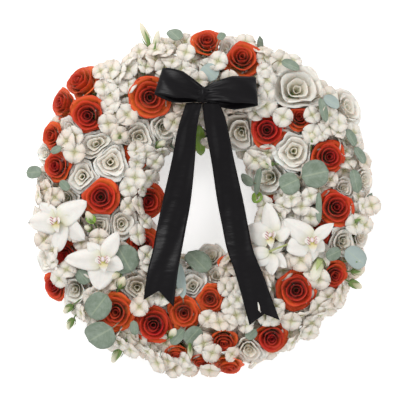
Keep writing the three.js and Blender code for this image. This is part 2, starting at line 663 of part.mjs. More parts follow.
// Points of a runner near the direction in which a flower stands.
function feetOn({ first, last, spotAt }, base) {
  const middle = (first + last) / 2;
  const angle = Math.atan2(base.y, base.x) - middle;
  const share = 0.5 + Math.atan2(Math.sin(angle), Math.cos(angle)) / (last - first);
  return [-0.3, -0.2, -0.1, 0, 0.1, 0.2, 0.3].map((shift) => (
    spotAt(THREE.MathUtils.clamp(share + shift / (last - first), 0, 1))));
}

function claim(part, path, radius) {
  for (let k = 1; k < path.length; k += 1) {
    part.jackets.push(rod(path[k - 1], path[k], (radius + GAP) * 1.6, TWIG.sides));
    standing.push({ name: part.name, from: path[k - 1], to: path[k], radius });
  }
}

// A thin branch from the best of a flower's bases down to the runner.
function branch(part, bases, runner, radius = TWIG.radius, back = undefined) {
  const ways = bases.map((base) => clearWay(base, [...feetOn(runner, base), ...part.joints], part.name, back));
  const best = ways.sort((a, b) => b.score - a.score)[0];
  claim(part, best.path, radius);
  part.joints.push(...best.path.slice(1, -1));
  return best.path;
}

// A thin leaf or petal from its base to its tip, its edges raised by the cup.
function blade(base, tip, width, normal, cup, corners = 6) {
  const along = new THREE.Vector3().subVectors(tip, base).multiplyScalar(0.5);
  const side = new THREE.Vector3().crossVectors(normal, along).setLength(width / 2);
  const up = new THREE.Vector3().crossVectors(along, side).normalize();
  const middle = new THREE.Vector3().addVectors(base, tip).multiplyScalar(0.5);
  const vertices = [];
  for (const face of [1, -1]) {
    vertices.push(middle.clone().addScaledVector(up, (face * BLADE) / 2));
    for (let k = 0; k < corners; k += 1) {
      const angle = Math.PI + (k / corners) * 2 * Math.PI;
      const point = middle.clone().addScaledVector(along, Math.cos(angle)).addScaledVector(side, Math.sin(angle));
      vertices.push(point.addScaledVector(up, cup * Math.sin(angle) ** 2 + (face * BLADE) / 2));
    }
  }
  const faces = [];
  for (let k = 0; k < corners; k += 1) {
    const here = 1 + k;
    const next = 1 + ((k + 1) % corners);
    faces.push([0, here, next], [corners + 1, corners + 1 + next, corners + 1 + here]);
    faces.push([here, corners + 1 + here, corners + 1 + next, next]);
  }
  return solidOf(bodyOf(vertices, faces));
}

function coverPoint(px, py, over = 0) {
  const point = inPlan(px, py);
  point.z = arch(radiusOf(point), COVER_SPREAD, COVER_RISE) + over;
  return point;
}

// The height of the flowers under a point of the plan.
function topUnder(point) {
  for (let z = 135; z > 40; z -= 1.5) {
    if (clearOfBlooms(new THREE.Vector3(point.x, point.y, z)) < 0.6) return z;
  }
  return 40;
}

// Marks the room that a leaf or petal takes.
function keepClear(name, base, tip, width) {
  standing.push({ name, from: base.clone(), to: tip.clone(), radius: width * 0.3 });
}

function addBlade(part, base, tip, width, cup, over) {
  const samples = [0.1, 0.35, 0.65, 0.95].map((k) => new THREE.Vector3().lerpVectors(base, tip, k));
  const lift = Math.max(...samples.map((point) => topUnder(point) + 1.2 - point.z), -8);
  base.z += lift + over;
  tip.z += lift + over;
  const normal = outward(new THREE.Vector3().lerpVectors(base, tip, 0.5));
  part.pieces.push(blade(base, tip, width, normal, cup));
  part.jackets.push(jacketOfBlade(base, tip, width, normal, cup));
  keepClear(part.name, base, tip, width);
}

function jacketOfBlade(base, tip, width, normal, cup) {
  const along = new THREE.Vector3().subVectors(tip, base);
  const geometry = new THREE.BoxGeometry(along.length() + 1, width + 1, BLADE + 1 + Math.abs(cup));
  const side = new THREE.Vector3().crossVectors(normal, along).normalize();
  const up = new THREE.Vector3().crossVectors(along, side).normalize();
  geometry.applyMatrix4(new THREE.Matrix4().makeBasis(along.normalize(), side, up));
  const middle = new THREE.Vector3().addVectors(base, tip).multiplyScalar(0.5).addScaledVector(up, cup / 2);
  return solidOf(geometry.translate(middle.x, middle.y, middle.z));
}

// A pointed bud on its stalk, which follows the path down from its base.
function budBody(tip, width, path) {
  const vertices = [tip];
  const faces = [];
  const base = path[0];
  const way = new THREE.Vector3().subVectors(base, tip).normalize();
  const [across, upright] = basisOf(way.clone().negate(), 0);
  let loop = [];
  for (const [part, radius] of [[0.35, 0.4], [0.8, 0.5]]) {
    const spot = new THREE.Vector3().lerpVectors(tip, base, part);
    const ring = [0, 1, 2, 3, 4].map((side) => {
      const angle = (side / 5) * 2 * Math.PI;
      const corner = spot.clone().addScaledVector(across, radius * width * Math.cos(angle));
      vertices.push(corner.addScaledVector(upright, radius * width * Math.sin(angle)));
      return vertices.length - 1;
    });
    if (loop.length) faces.push(...zipped(loop, ring));
    else ring.forEach((corner, side) => faces.push([0, corner, ring[(side + 1) % 5]]));
    loop = ring;
  }
  addStalk(vertices, faces, loop, path, way, across, upright, 0, TWIG.radius);
  return solidOf(bodyOf(vertices, faces));
}

const sprayNames = (rows) => [...new Set(rows.map((row) => row[0]))];

for (const name of sprayNames(WHITES)) {
  const part = partOf(name, 'white');
  const blooms = sites.filter((site) => site.name === name);
  const buds = BUDS.filter((row) => row[0] === name).map(([, bx, by, tx, ty, width]) => (
    { base: coverPoint(bx, by, -14), tip: coverPoint(tx, ty, -6), width: width * PLAN_UNIT }));
  const runner = layRunner(part, [...blooms.map(baseOf), ...buds.map(({ base }) => base)]);
  part.runner = runner;
  for (const site of blooms) part.pieces.push(bloomBody(site, branch(part, [baseOf(site)], runner), TWIG.radius));
  for (const { base, tip, width } of buds) {
    const back = new THREE.Vector3().subVectors(base, tip).normalize();
    part.pieces.push(budBody(tip, width, branch(part, [base], runner, TWIG.radius, back)));
    part.jackets.push(rod(base, tip, width * 0.6, 6));
    keepClear(name, base, tip, width);
  }
}

for (const name of sprayNames(ORCHIDS)) {
  const part = partOf(name, 'orchid');
  const rows = ORCHIDS.filter((row) => row[0] === name);
  const bases = rows.map(([, px, py, tepals]) => {
    const tips = tepals.map(([dx, dy]) => coverPoint(px + dx * 0.9, py - dy * 0.9));
    const middle = coverPoint(px, py);
    const lift = Math.max(...[middle, ...tips].map((point) => topUnder(point) + 2.5 - point.z), 2);
    middle.z += lift;
    tepals.forEach(([dx, dy, width], k) => {
      const tip = coverPoint(px + dx, py - dy);
      tip.z = THREE.MathUtils.lerp(tip.z + lift, middle.z, 0.35);
      const root = middle.clone().lerp(tip, 0.06);
      for (const end of [root, tip]) end.z -= TEPAL_LAYERS[k];
      part.pieces.push(blade(root, tip, width * PLAN_UNIT, outward(middle), -3, 6));
      part.jackets.push(jacketOfBlade(root, tip, width * PLAN_UNIT, outward(middle), -3));
      keepClear(name, root, tip, width * PLAN_UNIT);
    });
    for (const [size, list] of [[LIP, part.pieces], [LIP + 3 * GAP, part.jackets]]) {
      list.push(solidOf(new THREE.SphereGeometry(size, 6, 4).translate(middle.x, middle.y, middle.z + 2)));
    }
    return middle.clone().setZ(middle.z - 2);
  });
  const buds = ORCHID_BUDS.filter((row) => row[0] === name).map(([, bx, by, tx, ty, width]) => (
    { base: coverPoint(bx, by, -6), tip: coverPoint(tx, ty, 0), width: width * PLAN_UNIT }));
  const runner = layRunner(part, [...bases, ...buds.map(({ base }) => base)]);
  for (const base of bases) part.pieces.push(tube(branch(part, [base], runner, TWIG.radius), TWIG.radius, TWIG.sides));
  for (const { base, tip, width } of buds) {
    part.pieces.push(budBody(tip, width, branch(part, [base], runner, TWIG.radius)));
    part.jackets.push(rod(base, tip, width * 0.6, 6));
    keepClear(name, base, tip, width);
  }
}

for (const name of sprayNames(LEAVES)) {
  const part = partOf(name, 'leaf');
  const bases = LEAVES.filter((row) => row[0] === name).map(([, bx, by, tx, ty, width, tipLift]) => {
    const base = coverPoint(bx, by, -4);
    const tip = coverPoint(tx, ty, tipLift - 4);
    addBlade(part, base, tip, width * PLAN_UNIT, 2, 0);
    const back = new THREE.Vector3().subVectors(base, tip).normalize();
    return { back, spots: [0.12, 0.3, 0.5, 0.7].map((along) => base.clone().lerp(tip, along)) };
  });
  const runner = layRunner(part, bases.map(({ spots }) => spots[0]));
  for (const { back, spots } of bases) {
    part.pieces.push(tube(branch(part, spots, runner, TWIG.radius, back), TWIG.radius, TWIG.sides));
  }
}

// Hydrangea heads
// A head is a core under a close cover of florets, one at each free place of a hexagonal grid.

// Pulls a floret's corner in until it is clear of the blooms and of the florets round it.
function drawnIn(name, own, middle, corner) {
  const point = new THREE.Vector3();
  const others = places.filter((other) => other !== own && other.distanceTo(own) < 50);
  for (let part = 1; part > 0.2; part -= 0.1) {
    point.lerpVectors(middle, corner, part);
    const reach = point.distanceTo(own) + 2 * GAP;
    if (others.some((other) => other.distanceTo(point) < reach)) continue;
    if (clearOfBlooms(point) > 2 && clearOfStems(point, point, name) > 1) break;
  }
  return point.clone();
}

// A floret of four petals on its stalk, which follows the path down from it.
function floretBody(name, point, turn, path) {
  const normal = outward(point);
  const [across, upright] = basisOf(normal, turn);
  const middle = point.clone().addScaledVector(normal, -1.5);
  const vertices = [middle];
  const edge = [];
  for (let k = 0; k < 8; k += 1) {
    const angle = (k / 8) * 2 * Math.PI + (k % 2 ? 0.22 : -0.22);
    const corner = point.clone().addScaledVector(across, FLORET.radius * Math.cos(angle));
    corner.addScaledVector(upright, FLORET.radius * Math.sin(angle));
    vertices.push(drawnIn(name, point, middle, corner.addScaledVector(normal, k % 2 ? 3 : -1)));
    edge.push(vertices.length - 1);
  }
  const faces = edge.map((corner, k) => [0, corner, edge[(k + 1) % 8]]);
  addStalk(vertices, faces, edge, path, normal.clone().negate(), across, upright, 0, FLORET.stalk);
  return solidOf(bodyOf(vertices, faces));
}

// The hubs of the heads stand over the foam where there is most room, well apart.
const rooms = [];
for (let x = -240; x <= 240; x += 6) {
  for (let y = -240; y <= 240; y += 6) {
    const centre = new THREE.Vector3(x, y, HUB.height);
    const radius = radiusOf(centre);
    if (radius < FOAM.inner + 10 || radius > FOAM.outer - 4) continue;
    const foot = centre.clone().setZ(FOAM.top - STEM.depth);
    const room = Math.min(clearOfBlooms(centre), clearOfStems(centre, centre), clearOfStems(centre, foot) * 4);
    rooms.push({ centre, room });
  }
}
rooms.sort((a, b) => b.room - a.room);
const heads = [];
for (const { centre, room } of rooms) {
  if (heads.length === HUB.count) break;
  if (heads.some((head) => head.centre.distanceTo(centre) < HUB.apart)) continue;
  const name = `hydrangea_0${heads.length + 1}`;
  heads.push({ name, centre, radius: THREE.MathUtils.clamp(room - 2, HUB.least, HUB.most), florets: [] });
}
for (const { name, centre, radius } of heads) standing.push({ name, from: centre, to: centre, radius });
const joints = heads.flatMap((head) => (
  [head.centre, head.centre.clone().setZ(58)].map((spot) => ({ name: head.name, spot }))));
const florets = [];
const places = [];

// Florets take the freest places first, and stand apart from each other.
const free = [];
for (let x = -290; x <= 290; x += FLORET.pitch / 4) {
  for (let y = -290; y <= 290; y += FLORET.pitch / 4) {
    const radius = Math.hypot(x, y);
    if (radius < MID_RADIUS - 92 || radius > MID_RADIUS + 80) continue;
    const point = new THREE.Vector3(x + random() * 4, y + random() * 4, arch(radius, COVER_SPREAD, COVER_RISE) - 12);
    const room = Math.min(clearOfBlooms(point), FLORET.radius * 0.7);
    if (room > 2.5) free.push({ point, room });
  }
}
free.sort((a, b) => b.room - a.room);
for (const { point, room } of free) {
  const apart = FLORET.pitch * 0.62 + room * 0.7;
  if (places.every((other) => other.distanceTo(point) > apart)) places.push(point);
}

// Each floret's stalk springs from the hub, or forks from the stalk of a floret nearer to it.
const fromHub = (point) => Math.min(...heads.map((head) => head.centre.distanceTo(point)));
places.sort((a, b) => fromHub(a) - fromHub(b));
for (const point of places) {
  const root = point.clone().addScaledVector(outward(point), -FLORET.depth);
  const near = joints.slice().sort((a, b) => a.spot.distanceTo(root) - b.spot.distanceTo(root)).slice(0, 6);
  const ways = near.map(({ name, spot }) => ({ name, ...clearWay(root, [spot], name) }));
  let best = ways.sort((a, b) => b.score - a.score)[0];
  if (best.clear < FLORET.stalk) {
    const sprays = [...parts.values()].filter((part) => part.runner)
      .map((part) => ({ ...part, far: Math.min(...feetOn(part.runner, root).map((foot) => foot.distanceTo(root))) }))
      .sort((a, b) => a.far - b.far).slice(0, 3);
    const others = sprays.map(({ name, runner }) => ({ name, ...clearWay(root, feetOn(runner, root), name) }));
    best = others.sort((a, b) => b.score - a.score)[0];
  }
  if (best.clear < FLORET.stalk) continue;
  florets.push({ name: best.name, point, path: best.path });
  joints.push(...best.path.slice(0, -1).map((spot) => ({ name: best.name, spot })));
  standing.push({ name: best.name, from: point, to: root, radius: 5 });
  best.path.slice(1).forEach((_, k) => (
    standing.push({ name: best.name, from: best.path[k], to: best.path[k + 1], radius: FLORET.stalk })));
}
for (const { name, point, path } of florets) {
  const part = partOf(name, 'hydrangea');
  part.pieces.push(floretBody(name, point, random() * 6.28, path));
  if (part.runner) part.jackets.push(rod(point, path[0], FLORET.radius, 6));
}
for (const { name, centre, radius } of heads) {
  const hub = new THREE.SphereGeometry(radius, 7, 4).translate(centre.x, centre.y, centre.z);
  const part = partOf(name, 'hydrangea');
  part.pieces.push(solidOf(hub));
  plant(part, centre, STEM.radius, centre.clone().setZ(FOAM.top - STEM.depth));
}

// Ribbon

// A flat band through stations of its two edges, closed at its ends.
function bandBody(stations, thick, closed = false) {
  const vertices = [];
  const count = stations.length;
  stations.forEach(([left, right], k) => {
    const before = stations[closed ? (k + count - 1) % count : Math.max(0, k - 1)];
    const after = stations[closed ? (k + 1) % count : Math.min(count - 1, k + 1)];
    const along = new THREE.Vector3().addVectors(after[0], after[1]).sub(before[0]).sub(before[1]);
    const across = new THREE.Vector3().subVectors(right, left);
    const up = new THREE.Vector3().crossVectors(across, along).setLength(thick / 2);
    vertices.push(left.clone().add(up), right.clone().add(up), right.clone().sub(up), left.clone().sub(up));
  });
  const faces = [];
  for (let k = 0; k < (closed ? count : count - 1); k += 1) {
    const here = k * 4;
    const next = ((k + 1) % count) * 4;
    for (let side = 0; side < 4; side += 1) {
      const turn = (side + 1) % 4;
      faces.push([here + side, here + turn, next + turn, next + side]);
    }
  }
  const end = (count - 1) * 4;
  if (!closed) faces.push([0, 3, 2, 1], [end, end + 1, end + 2, end + 3]);
  const solid = solidOf(bodyOf(vertices, faces));
  return solid;
}

function tailStations(rows) {
  return rows.map(([left, right, py, z]) => [inPlan(left, py, z), inPlan(right, py, z)]);
}

function notchBody([left, middle, right], z) {
  const reach = 40;
  const shape = new THREE.Shape([left, middle, right].map(([px, py]) => {
    const point = inPlan(px, py);
    return new THREE.Vector2(point.x, point.y);
  }));
  const low = inPlan(right[0], right[1] + reach);
  const lower = inPlan(left[0], left[1] + reach);
  shape.lineTo(low.x, low.y);
  shape.lineTo(lower.x, lower.y);
  return solidOf(new THREE.ExtrudeGeometry(shape, { depth: 60, bevelEnabled: false }).translate(0, 0, z - 30));
}

function tailBody(rows, notch, extra) {
  const last = rows[rows.length - 1];
  const longer = [...rows, [last[0] - extra, last[1] + extra, last[2] + 22, last[3] - 3]];
  return bandBody(tailStations(longer), RIBBON.thick).subtract(notchBody(notch, last[3]));
}

// A loop of the bow: an oval of ribbon out from the knot, turned about the knot and tipped up.
function loopBody(length, height, turn, tip, thick, width) {
  const stations = [];
  const steps = 14;
  for (let k = 0; k < steps; k += 1) {
    const angle = (k / steps) * 2 * Math.PI;
    const out = length / 2 - (length / 2) * Math.cos(angle);
    const grow = 0.45 + 0.55 * Math.min(1, (out / length) * 1.8);
    const rise = (height / 2) * Math.sin(angle);
    const edges = [-0.5, 0.5].map((side) => new THREE.Vector3(out, side * width * grow, rise));
    stations.push(edges);
  }
  const place = new THREE.Matrix4().makeRotationZ(turn).multiply(new THREE.Matrix4().makeRotationX(tip));
  const knot = inPlan(203, 96, BOW_HEIGHT + 4);
  return bandBody(stations.map((pair) => pair.map((point) => point.applyMatrix4(place).add(knot))), thick, true);
}

const LOOPS = [[88, 26, 0.06, -0.35], [76, 22, Math.PI - 0.3, 0.3]];

function bowPieces(extra) {
  const loops = LOOPS.map(([length, height, turn, tip]) => (
    loopBody(length, height, turn, tip, RIBBON.thick + extra * 2, RIBBON.width + extra * 2)));
  const knot = new THREE.BoxGeometry(RIBBON.knot * 0.8 + extra * 2, RIBBON.knot + extra * 2, 12 + extra * 2);
  const at = inPlan(203, 96, BOW_HEIGHT + 4);
  return [...loops, solidOf(knot.translate(at.x, at.y, at.z))];
}

const ribbons = [
  { name: 'ribbon_bow', tone: 'ribbon', pieces: bowPieces(0), jackets: bowPieces(GAP) },
  { name: 'ribbon_tail_left', tone: 'ribbon', pieces: [tailBody(TAIL_LEFT, NOTCH.left, 0)], jackets: [] },
  { name: 'ribbon_tail_right', tone: 'ribbon', pieces: [tailBody(TAIL_RIGHT, NOTCH.right, 0)], jackets: [] },
];
ribbons[1].jackets.push(bandBody(tailStations(TAIL_LEFT), RIBBON.thick + 2 * GAP));
ribbons[2].jackets.push(bandBody(tailStations(TAIL_RIGHT), RIBBON.thick + 2 * GAP));

// Tray and foam

function trayBody() {
  const { inner, outer, height, wall } = TRAY;
  const profile = [
    [inner, 0], [outer, 0], [outer, height], [outer - wall, height], [outer - wall, wall],
    [inner + wall, wall], [inner + wall, height], [inner, height], [inner, 0],
  ].map(([radius, z]) => new THREE.Vector2(radius, z));
  return solidOf(new THREE.LatheGeometry(profile, 24).rotateX(Math.PI / 2));
}

function foamBody() {
  const { inner, outer, bottom, top, chamfer } = FOAM;
  const profile = [
    [inner, bottom], [outer, bottom], [outer, top - chamfer], [outer - chamfer, top],
    [inner + chamfer, top], [inner, top - chamfer], [inner, bottom],
  ].map(([radius, z]) => new THREE.Vector2(radius, z));
  return solidOf(new THREE.LatheGeometry(profile, 24).rotateX(Math.PI / 2));
}

// Fitting together
// Where two parts meet, the one that loses less is cut to the other's jackets. Each part keeps its
// one largest body.

const overlaps = (a, b) => {
  const p = a.boundingBox();
  const q = b.boundingBox();
  return [0, 1, 2].every((k) => p.min[k] < q.max[k] && q.min[k] < p.max[k]);
};

const joined = (pieces) => pieces.reduce((sum, piece) => sum.add(piece));

const bodiesOf = (solid) => solid.decompose().sort((a, b) => b.volume() - a.volume());

const scrapsOf = (solid) => bodiesOf(solid).slice(1).reduce((sum, body) => sum + body.volume(), 0);

// A solid less the jackets that reach into what it shares with another part.
function trimmed(solid, shared, jackets) {
  let rest = solid;
  for (const jacket of jackets) {
    if (overlaps(shared, jacket) && jacket.intersect(shared).volume() > 1e-5) rest = rest.subtract(jacket);
  }
  for (const left of rest.intersect(shared).decompose()) {
    const { min, max } = left.boundingBox();
    const size = max.map((high, k) => high - min[k] + 2 * GAP);
    const room = new THREE.BoxGeometry(...size).translate(...max.map((high, k) => (high + min[k]) / 2));
    rest = rest.subtract(solidOf(room));
  }
  return rest;
}

const fitted = [];

function fit({ name, tone, pieces, jackets }) {
  let solid = joined(pieces);
  for (const other of fitted) {
    if (!overlaps(solid, other.solid)) continue;
    const shared = solid.intersect(other.solid);
    if (shared.volume() < 1e-4) continue;
    const mine = trimmed(solid, shared, other.jackets);
    const loss = scrapsOf(mine) - scrapsOf(solid);
    if (loss > 40) {
      const theirs = trimmed(other.solid, shared, jackets);
      if (scrapsOf(theirs) - scrapsOf(other.solid) < loss) {
        other.solid = theirs;
        continue;
      }
    }
    solid = mine;
  }
  fitted.push({ name, tone, solid, jackets });
}

ribbons.forEach(fit);
for (const part of parts.values()) if (part.name.startsWith('orchid')) fit(part);
for (const part of parts.values()) if (part.name.startsWith('rose')) fit(part);
for (const part of parts.values()) if (part.name.startsWith('eucalyptus')) fit(part);
for (const part of parts.values()) if (part.name.startsWith('lisianthus')) fit(part);
for (const { name } of heads) fit(parts.get(name));
for (const part of fitted) [part.solid] = bodiesOf(part.solid);
fitted.push({ name: 'tray_ring', tone: 'tray', solid: trayBody() });
let foam = holes.reduce((rest, hole) => rest.subtract(hole), foamBody());
for (const { solid, jackets } of fitted) {
  const shared = overlaps(foam, solid) ? foam.intersect(solid) : null;
  if (shared && shared.volume() > 1e-4) foam = trimmed(foam, shared, jackets ?? []);
}
fitted.push({ name: 'foam_ring', tone: 'foam', solid: bodiesOf(foam)[0] });

const wreath = new THREE.Group();
for (const { name, tone, solid } of fitted) {
  const [color, roughness] = LOOKS[tone];
  const mesh = new THREE.Mesh(geometryOf(solid), new THREE.MeshStandardMaterial({ color, roughness, flatShading: true }));
  mesh.name = name;
  wreath.add(mesh);
}
const box = new THREE.Box3().setFromObject(wreath);
wreath.position.set(-(box.min.x + box.max.x) / 2, -(box.min.y + box.max.y) / 2, -box.min.z);

export default wreath;
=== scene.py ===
import json
import math
import bpy
import numpy as np
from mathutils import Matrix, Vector


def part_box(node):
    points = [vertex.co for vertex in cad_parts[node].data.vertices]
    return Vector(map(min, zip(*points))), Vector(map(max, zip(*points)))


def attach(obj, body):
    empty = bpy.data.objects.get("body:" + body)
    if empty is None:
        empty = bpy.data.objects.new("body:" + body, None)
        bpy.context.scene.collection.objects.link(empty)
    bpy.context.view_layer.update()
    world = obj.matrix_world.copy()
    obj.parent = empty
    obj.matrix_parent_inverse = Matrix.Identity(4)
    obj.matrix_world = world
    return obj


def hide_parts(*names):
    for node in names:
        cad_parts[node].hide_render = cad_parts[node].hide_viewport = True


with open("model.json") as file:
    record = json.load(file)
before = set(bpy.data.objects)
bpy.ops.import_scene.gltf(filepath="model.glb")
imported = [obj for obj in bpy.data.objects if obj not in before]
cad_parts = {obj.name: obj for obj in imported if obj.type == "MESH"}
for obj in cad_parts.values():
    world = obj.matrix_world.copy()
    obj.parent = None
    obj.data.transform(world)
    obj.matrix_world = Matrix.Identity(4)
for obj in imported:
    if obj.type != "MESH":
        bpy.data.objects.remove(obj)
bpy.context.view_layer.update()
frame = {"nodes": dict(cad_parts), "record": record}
rng = np.random.default_rng(17)

# Places are read in plan, in units from the top left corner, with the bow at the top.
plan = {"unit": 0.00165, "centre": (204, 203), "shift": (0.00624, -0.00938)}
ring = {"middle": 0.190, "base": 0.030, "bloomSpread": 0.100, "bloomRise": 0.064,
        "coverSpread": 0.124, "coverRise": 0.086, "foamInner": 0.147, "foamOuter": 0.233,
        "footInset": 0.018, "footHeight": 0.030}

# node, middle in plan, width, lean across and up, tone from red (0) to orange (1), drop in mm
roseRows = [
    ("rose_01", 82, 84, 36, -0.55, 0.5, 0.7, 0),
    ("rose_01", 65, 102, 31, -0.8, 0.15, 0.55, 0),
    ("rose_02", 89, 115, 34, -0.15, -0.1, 0.2, 0),
    ("rose_03", 54, 136, 26, -0.6, 0.1, 0.75, 0),
    ("rose_04", 59, 166, 28, -0.5, 0, 0.3, 0),
    ("rose_05", 101, 197, 33, 0, 0, 0.15, 0),
    ("rose_06", 150, 97, 36, 0.05, -0.1, 0.5, -4),
    ("rose_07", 136, 154, 26, 0.2, 0.05, 0.6, 8),
    ("rose_08", 145, 200, 32, 0.3, -0.2, 0.15, 0),
    ("rose_09", 207, 43, 28, 0, 0.5, 0.55, 0),
    ("rose_10", 242, 60, 34, 0, 0.35, 0.55, 0),
    ("rose_11", 267, 130, 33, 0, 0, 0.02, 4),
    ("rose_12", 299, 118, 25, 0.1, 0.2, 0.6, 4),
    ("rose_13", 328, 157, 29, 0.15, 0, 0.1, 2),
    ("rose_14", 335, 208, 33, 0.15, 0.1, 0.15, 0),
    ("rose_15", 276, 209, 27, 0, 0, 0.9, 14),
    ("rose_16", 318, 234, 27, 0.1, -0.1, 0.05, 14),
    ("rose_17", 333, 274, 26, 0.3, -0.2, 0.5, 0),
    ("rose_18", 296, 290, 35, 0, 0, 0.12, 2),
    ("rose_19", 271, 336, 29, 0.1, -0.35, 0.08, 0),
    ("rose_20", 224, 340, 25, 0, -0.55, 0.75, 2),
    ("rose_20", 229, 364, 26, 0, -0.85, 0.85, 0),
    ("rose_21", 202, 360, 19, 0, -0.8, 0.85, 0),
    ("rose_22", 176, 351, 19, 0, -0.8, 0.8, 0),
    ("rose_23", 154, 324, 33, -0.06, -0.08, 0, 3),
    ("rose_24", 184, 312, 31, 0, -0.1, 0.8, 4),
    ("rose_25", 210, 299, 27, 0, 0, 0.8, 2),
    ("rose_26", 117, 311, 33, -0.15, -0.1, 0.75, 0),
    ("rose_27", 143, 245, 31, 0.15, 0, 0.4, 8),
    ("rose_28", 67, 255, 25, -0.4, -0.1, 0, 8),
    ("rose_29", 56, 286, 27, -0.6, -0.15, 0.12, 0),
    ("rose_30", 230, 267, 22, 0.05, 0.3, 0.1, 8),
]
# the same columns, with the tone unused
whiteRows = [
    ("lisianthus_01", 164, 127, 23, 0.3, -0.25, 0, 4),
    ("lisianthus_01", 139, 137, 27, 0.15, -0.1, 0, 6),
    ("lisianthus_02", 110, 162, 30, 0, 0, 0, 2),
    ("lisianthus_02", 96, 144, 28, -0.1, 0.1, 0, 6),
    ("lisianthus_02", 82, 177, 28, -0.1, 0, 0, 3),
    ("lisianthus_02", 71, 130, 24, -0.4, 0, 0, 8),
    ("lisianthus_02", 130, 184, 20, 0.2, 0, 0, 8),
    ("lisianthus_02", 99, 225, 22, 0, 0, 0, 6),
    ("lisianthus_02", 121, 224, 23, 0.1, 0, 0, 4),
    ("lisianthus_03", 44, 152, 16, -0.7, 0.1, 0, 6),
    ("lisianthus_03", 44, 184, 18, -0.7, 0, 0, 4),
    ("lisianthus_03", 66, 198, 20, -0.3, 0, 0, 6),
    ("lisianthus_03", 47, 260, 22, -0.75, -0.1, 0, 4),
    ("lisianthus_04", 74, 290, 25, -0.3, -0.2, 0, 4),
    ("lisianthus_04", 137, 288, 26, 0, -0.1, 0, 8),
    ("lisianthus_05", 193, 287, 24, 0, 0.1, 0, 4),
    ("lisianthus_05", 212, 258, 20, 0, 0.5, 0, 8),
    ("lisianthus_05", 160, 303, 18, 0, 0, 0, 16),
    ("lisianthus_05", 217, 277, 17, 0, 0.2, 0, 8),
    ("lisianthus_05", 236, 305, 19, 0, 0, 0, 8),
    ("lisianthus_05", 262, 320, 22, 0.1, -0.2, 0, 12),
    ("lisianthus_05", 249, 350, 26, 0.05, -0.6, 0, 4),
    ("lisianthus_06", 343, 241, 24, 0.4, -0.1, 0, 2),
    ("lisianthus_06", 361, 236, 17, 0.75, 0, 0, 2),
    ("lisianthus_06", 344, 189, 17, 0.35, 0.05, 0, 6),
    ("lisianthus_06", 365, 179, 17, 0.7, 0.05, 0, 2),
    ("lisianthus_07", 270, 177, 28, -0.3, 0, 0, 4),
    ("lisianthus_07", 242, 132, 28, 0, -0.3, 0, 4),
    ("lisianthus_07", 294, 151, 29, 0, 0, 0, 3),
    ("lisianthus_08", 225, 49, 20, 0, 0.35, 0, 5),
    ("lisianthus_08", 297, 90, 37, 0.15, 0.25, 0, 0),
    ("lisianthus_08", 349, 106, 28, 0.7, 0.3, 0, 2),
]
# node, foot and tip in plan, width
budRows = [
    ("lisianthus_01", 120, 136, 112, 138, 10),
    ("lisianthus_01", 156, 147, 166, 141, 8),
    ("lisianthus_01", 153, 60, 158, 28, 8),
    ("lisianthus_01", 150, 47, 139, 19, 8),
    ("lisianthus_01", 144, 74, 138, 58, 8),
    ("lisianthus_02", 94, 223, 87, 211, 9),
    ("lisianthus_02", 92, 230, 85, 226, 7),
    ("lisianthus_04", 121, 270, 112, 278, 9),
    ("lisianthus_04", 119, 288, 125, 276, 9),
    ("lisianthus_04", 72, 306, 62, 314, 8),
    ("lisianthus_04", 72, 320, 65, 332, 8),
    ("lisianthus_04", 121, 349, 110, 366, 9),
    ("lisianthus_05", 190, 342, 190, 360, 7),
    ("lisianthus_05", 169, 337, 176, 328, 9),
    ("lisianthus_06", 354, 222, 366, 218, 10),
    ("lisianthus_06", 350, 262, 363, 262, 8),
    ("lisianthus_06", 352, 272, 366, 272, 8),
    ("lisianthus_06", 350, 282, 364, 289, 9),
    ("lisianthus_07", 311, 144, 311, 133, 9),
    ("lisianthus_07", 274, 164, 259, 164, 10),
]
# node, foot and tip in plan, width, lift of the tip in mm
leafRows = [
    ("eucalyptus_01", 180, 39, 169, 28, 15, 2),
    ("eucalyptus_01", 203, 66, 216, 80, 18, 1),
    ("eucalyptus_01", 219, 40, 224, 32, 8, 2),
    ("eucalyptus_01", 281, 62, 299, 70, 13, 2),
    ("eucalyptus_01", 199, 125, 201, 155, 11, -8),
    ("eucalyptus_02", 323, 98, 340, 106, 15, 1),
    ("eucalyptus_02", 320, 98, 325, 123, 9, 3),
    ("eucalyptus_02", 347, 129, 356, 146, 12, 1),
    ("eucalyptus_02", 355, 147, 366, 163, 12, 0),
    ("eucalyptus_02", 353, 169, 358, 193, 14, 1),
    ("eucalyptus_02", 345, 249, 366, 266, 20, 0),
    ("eucalyptus_02", 340, 250, 325, 257, 13, 2),
    ("eucalyptus_03", 299, 179, 280, 188, 22, 3),
    ("eucalyptus_03", 301, 177, 328, 171, 28, 3),
    ("eucalyptus_03", 254, 183, 241, 176, 13, 0),
    ("eucalyptus_03", 256, 195, 260, 168, 9, 2),
    ("eucalyptus_03", 263, 196, 252, 199, 11, 0),
    ("eucalyptus_03", 318, 192, 318, 223, 6, 3),
    ("eucalyptus_04", 208, 272, 188, 252, 26, 3),
    ("eucalyptus_04", 183, 298, 178, 262, 10, 3),
    ("eucalyptus_04", 200, 327, 186, 343, 17, 1),
    ("eucalyptus_04", 184, 329, 171, 344, 11, 2),
    ("eucalyptus_04", 256, 329, 246, 338, 11, 1),
    ("eucalyptus_05", 132, 272, 118, 246, 28, 4),
    ("eucalyptus_05", 89, 283, 78, 270, 15, 2),
    ("eucalyptus_05", 108, 294, 90, 317, 26, 3),
    ("eucalyptus_05", 113, 327, 88, 342, 31, 1),
    ("eucalyptus_05", 135, 335, 134, 320, 9, 2),
    ("eucalyptus_06", 41, 172, 24, 172, 13, 0),
    ("eucalyptus_06", 62, 148, 51, 152, 8, 2),
    ("eucalyptus_06", 70, 190, 61, 181, 9, 2),
    ("eucalyptus_06", 96, 222, 87, 216, 9, 2),
]

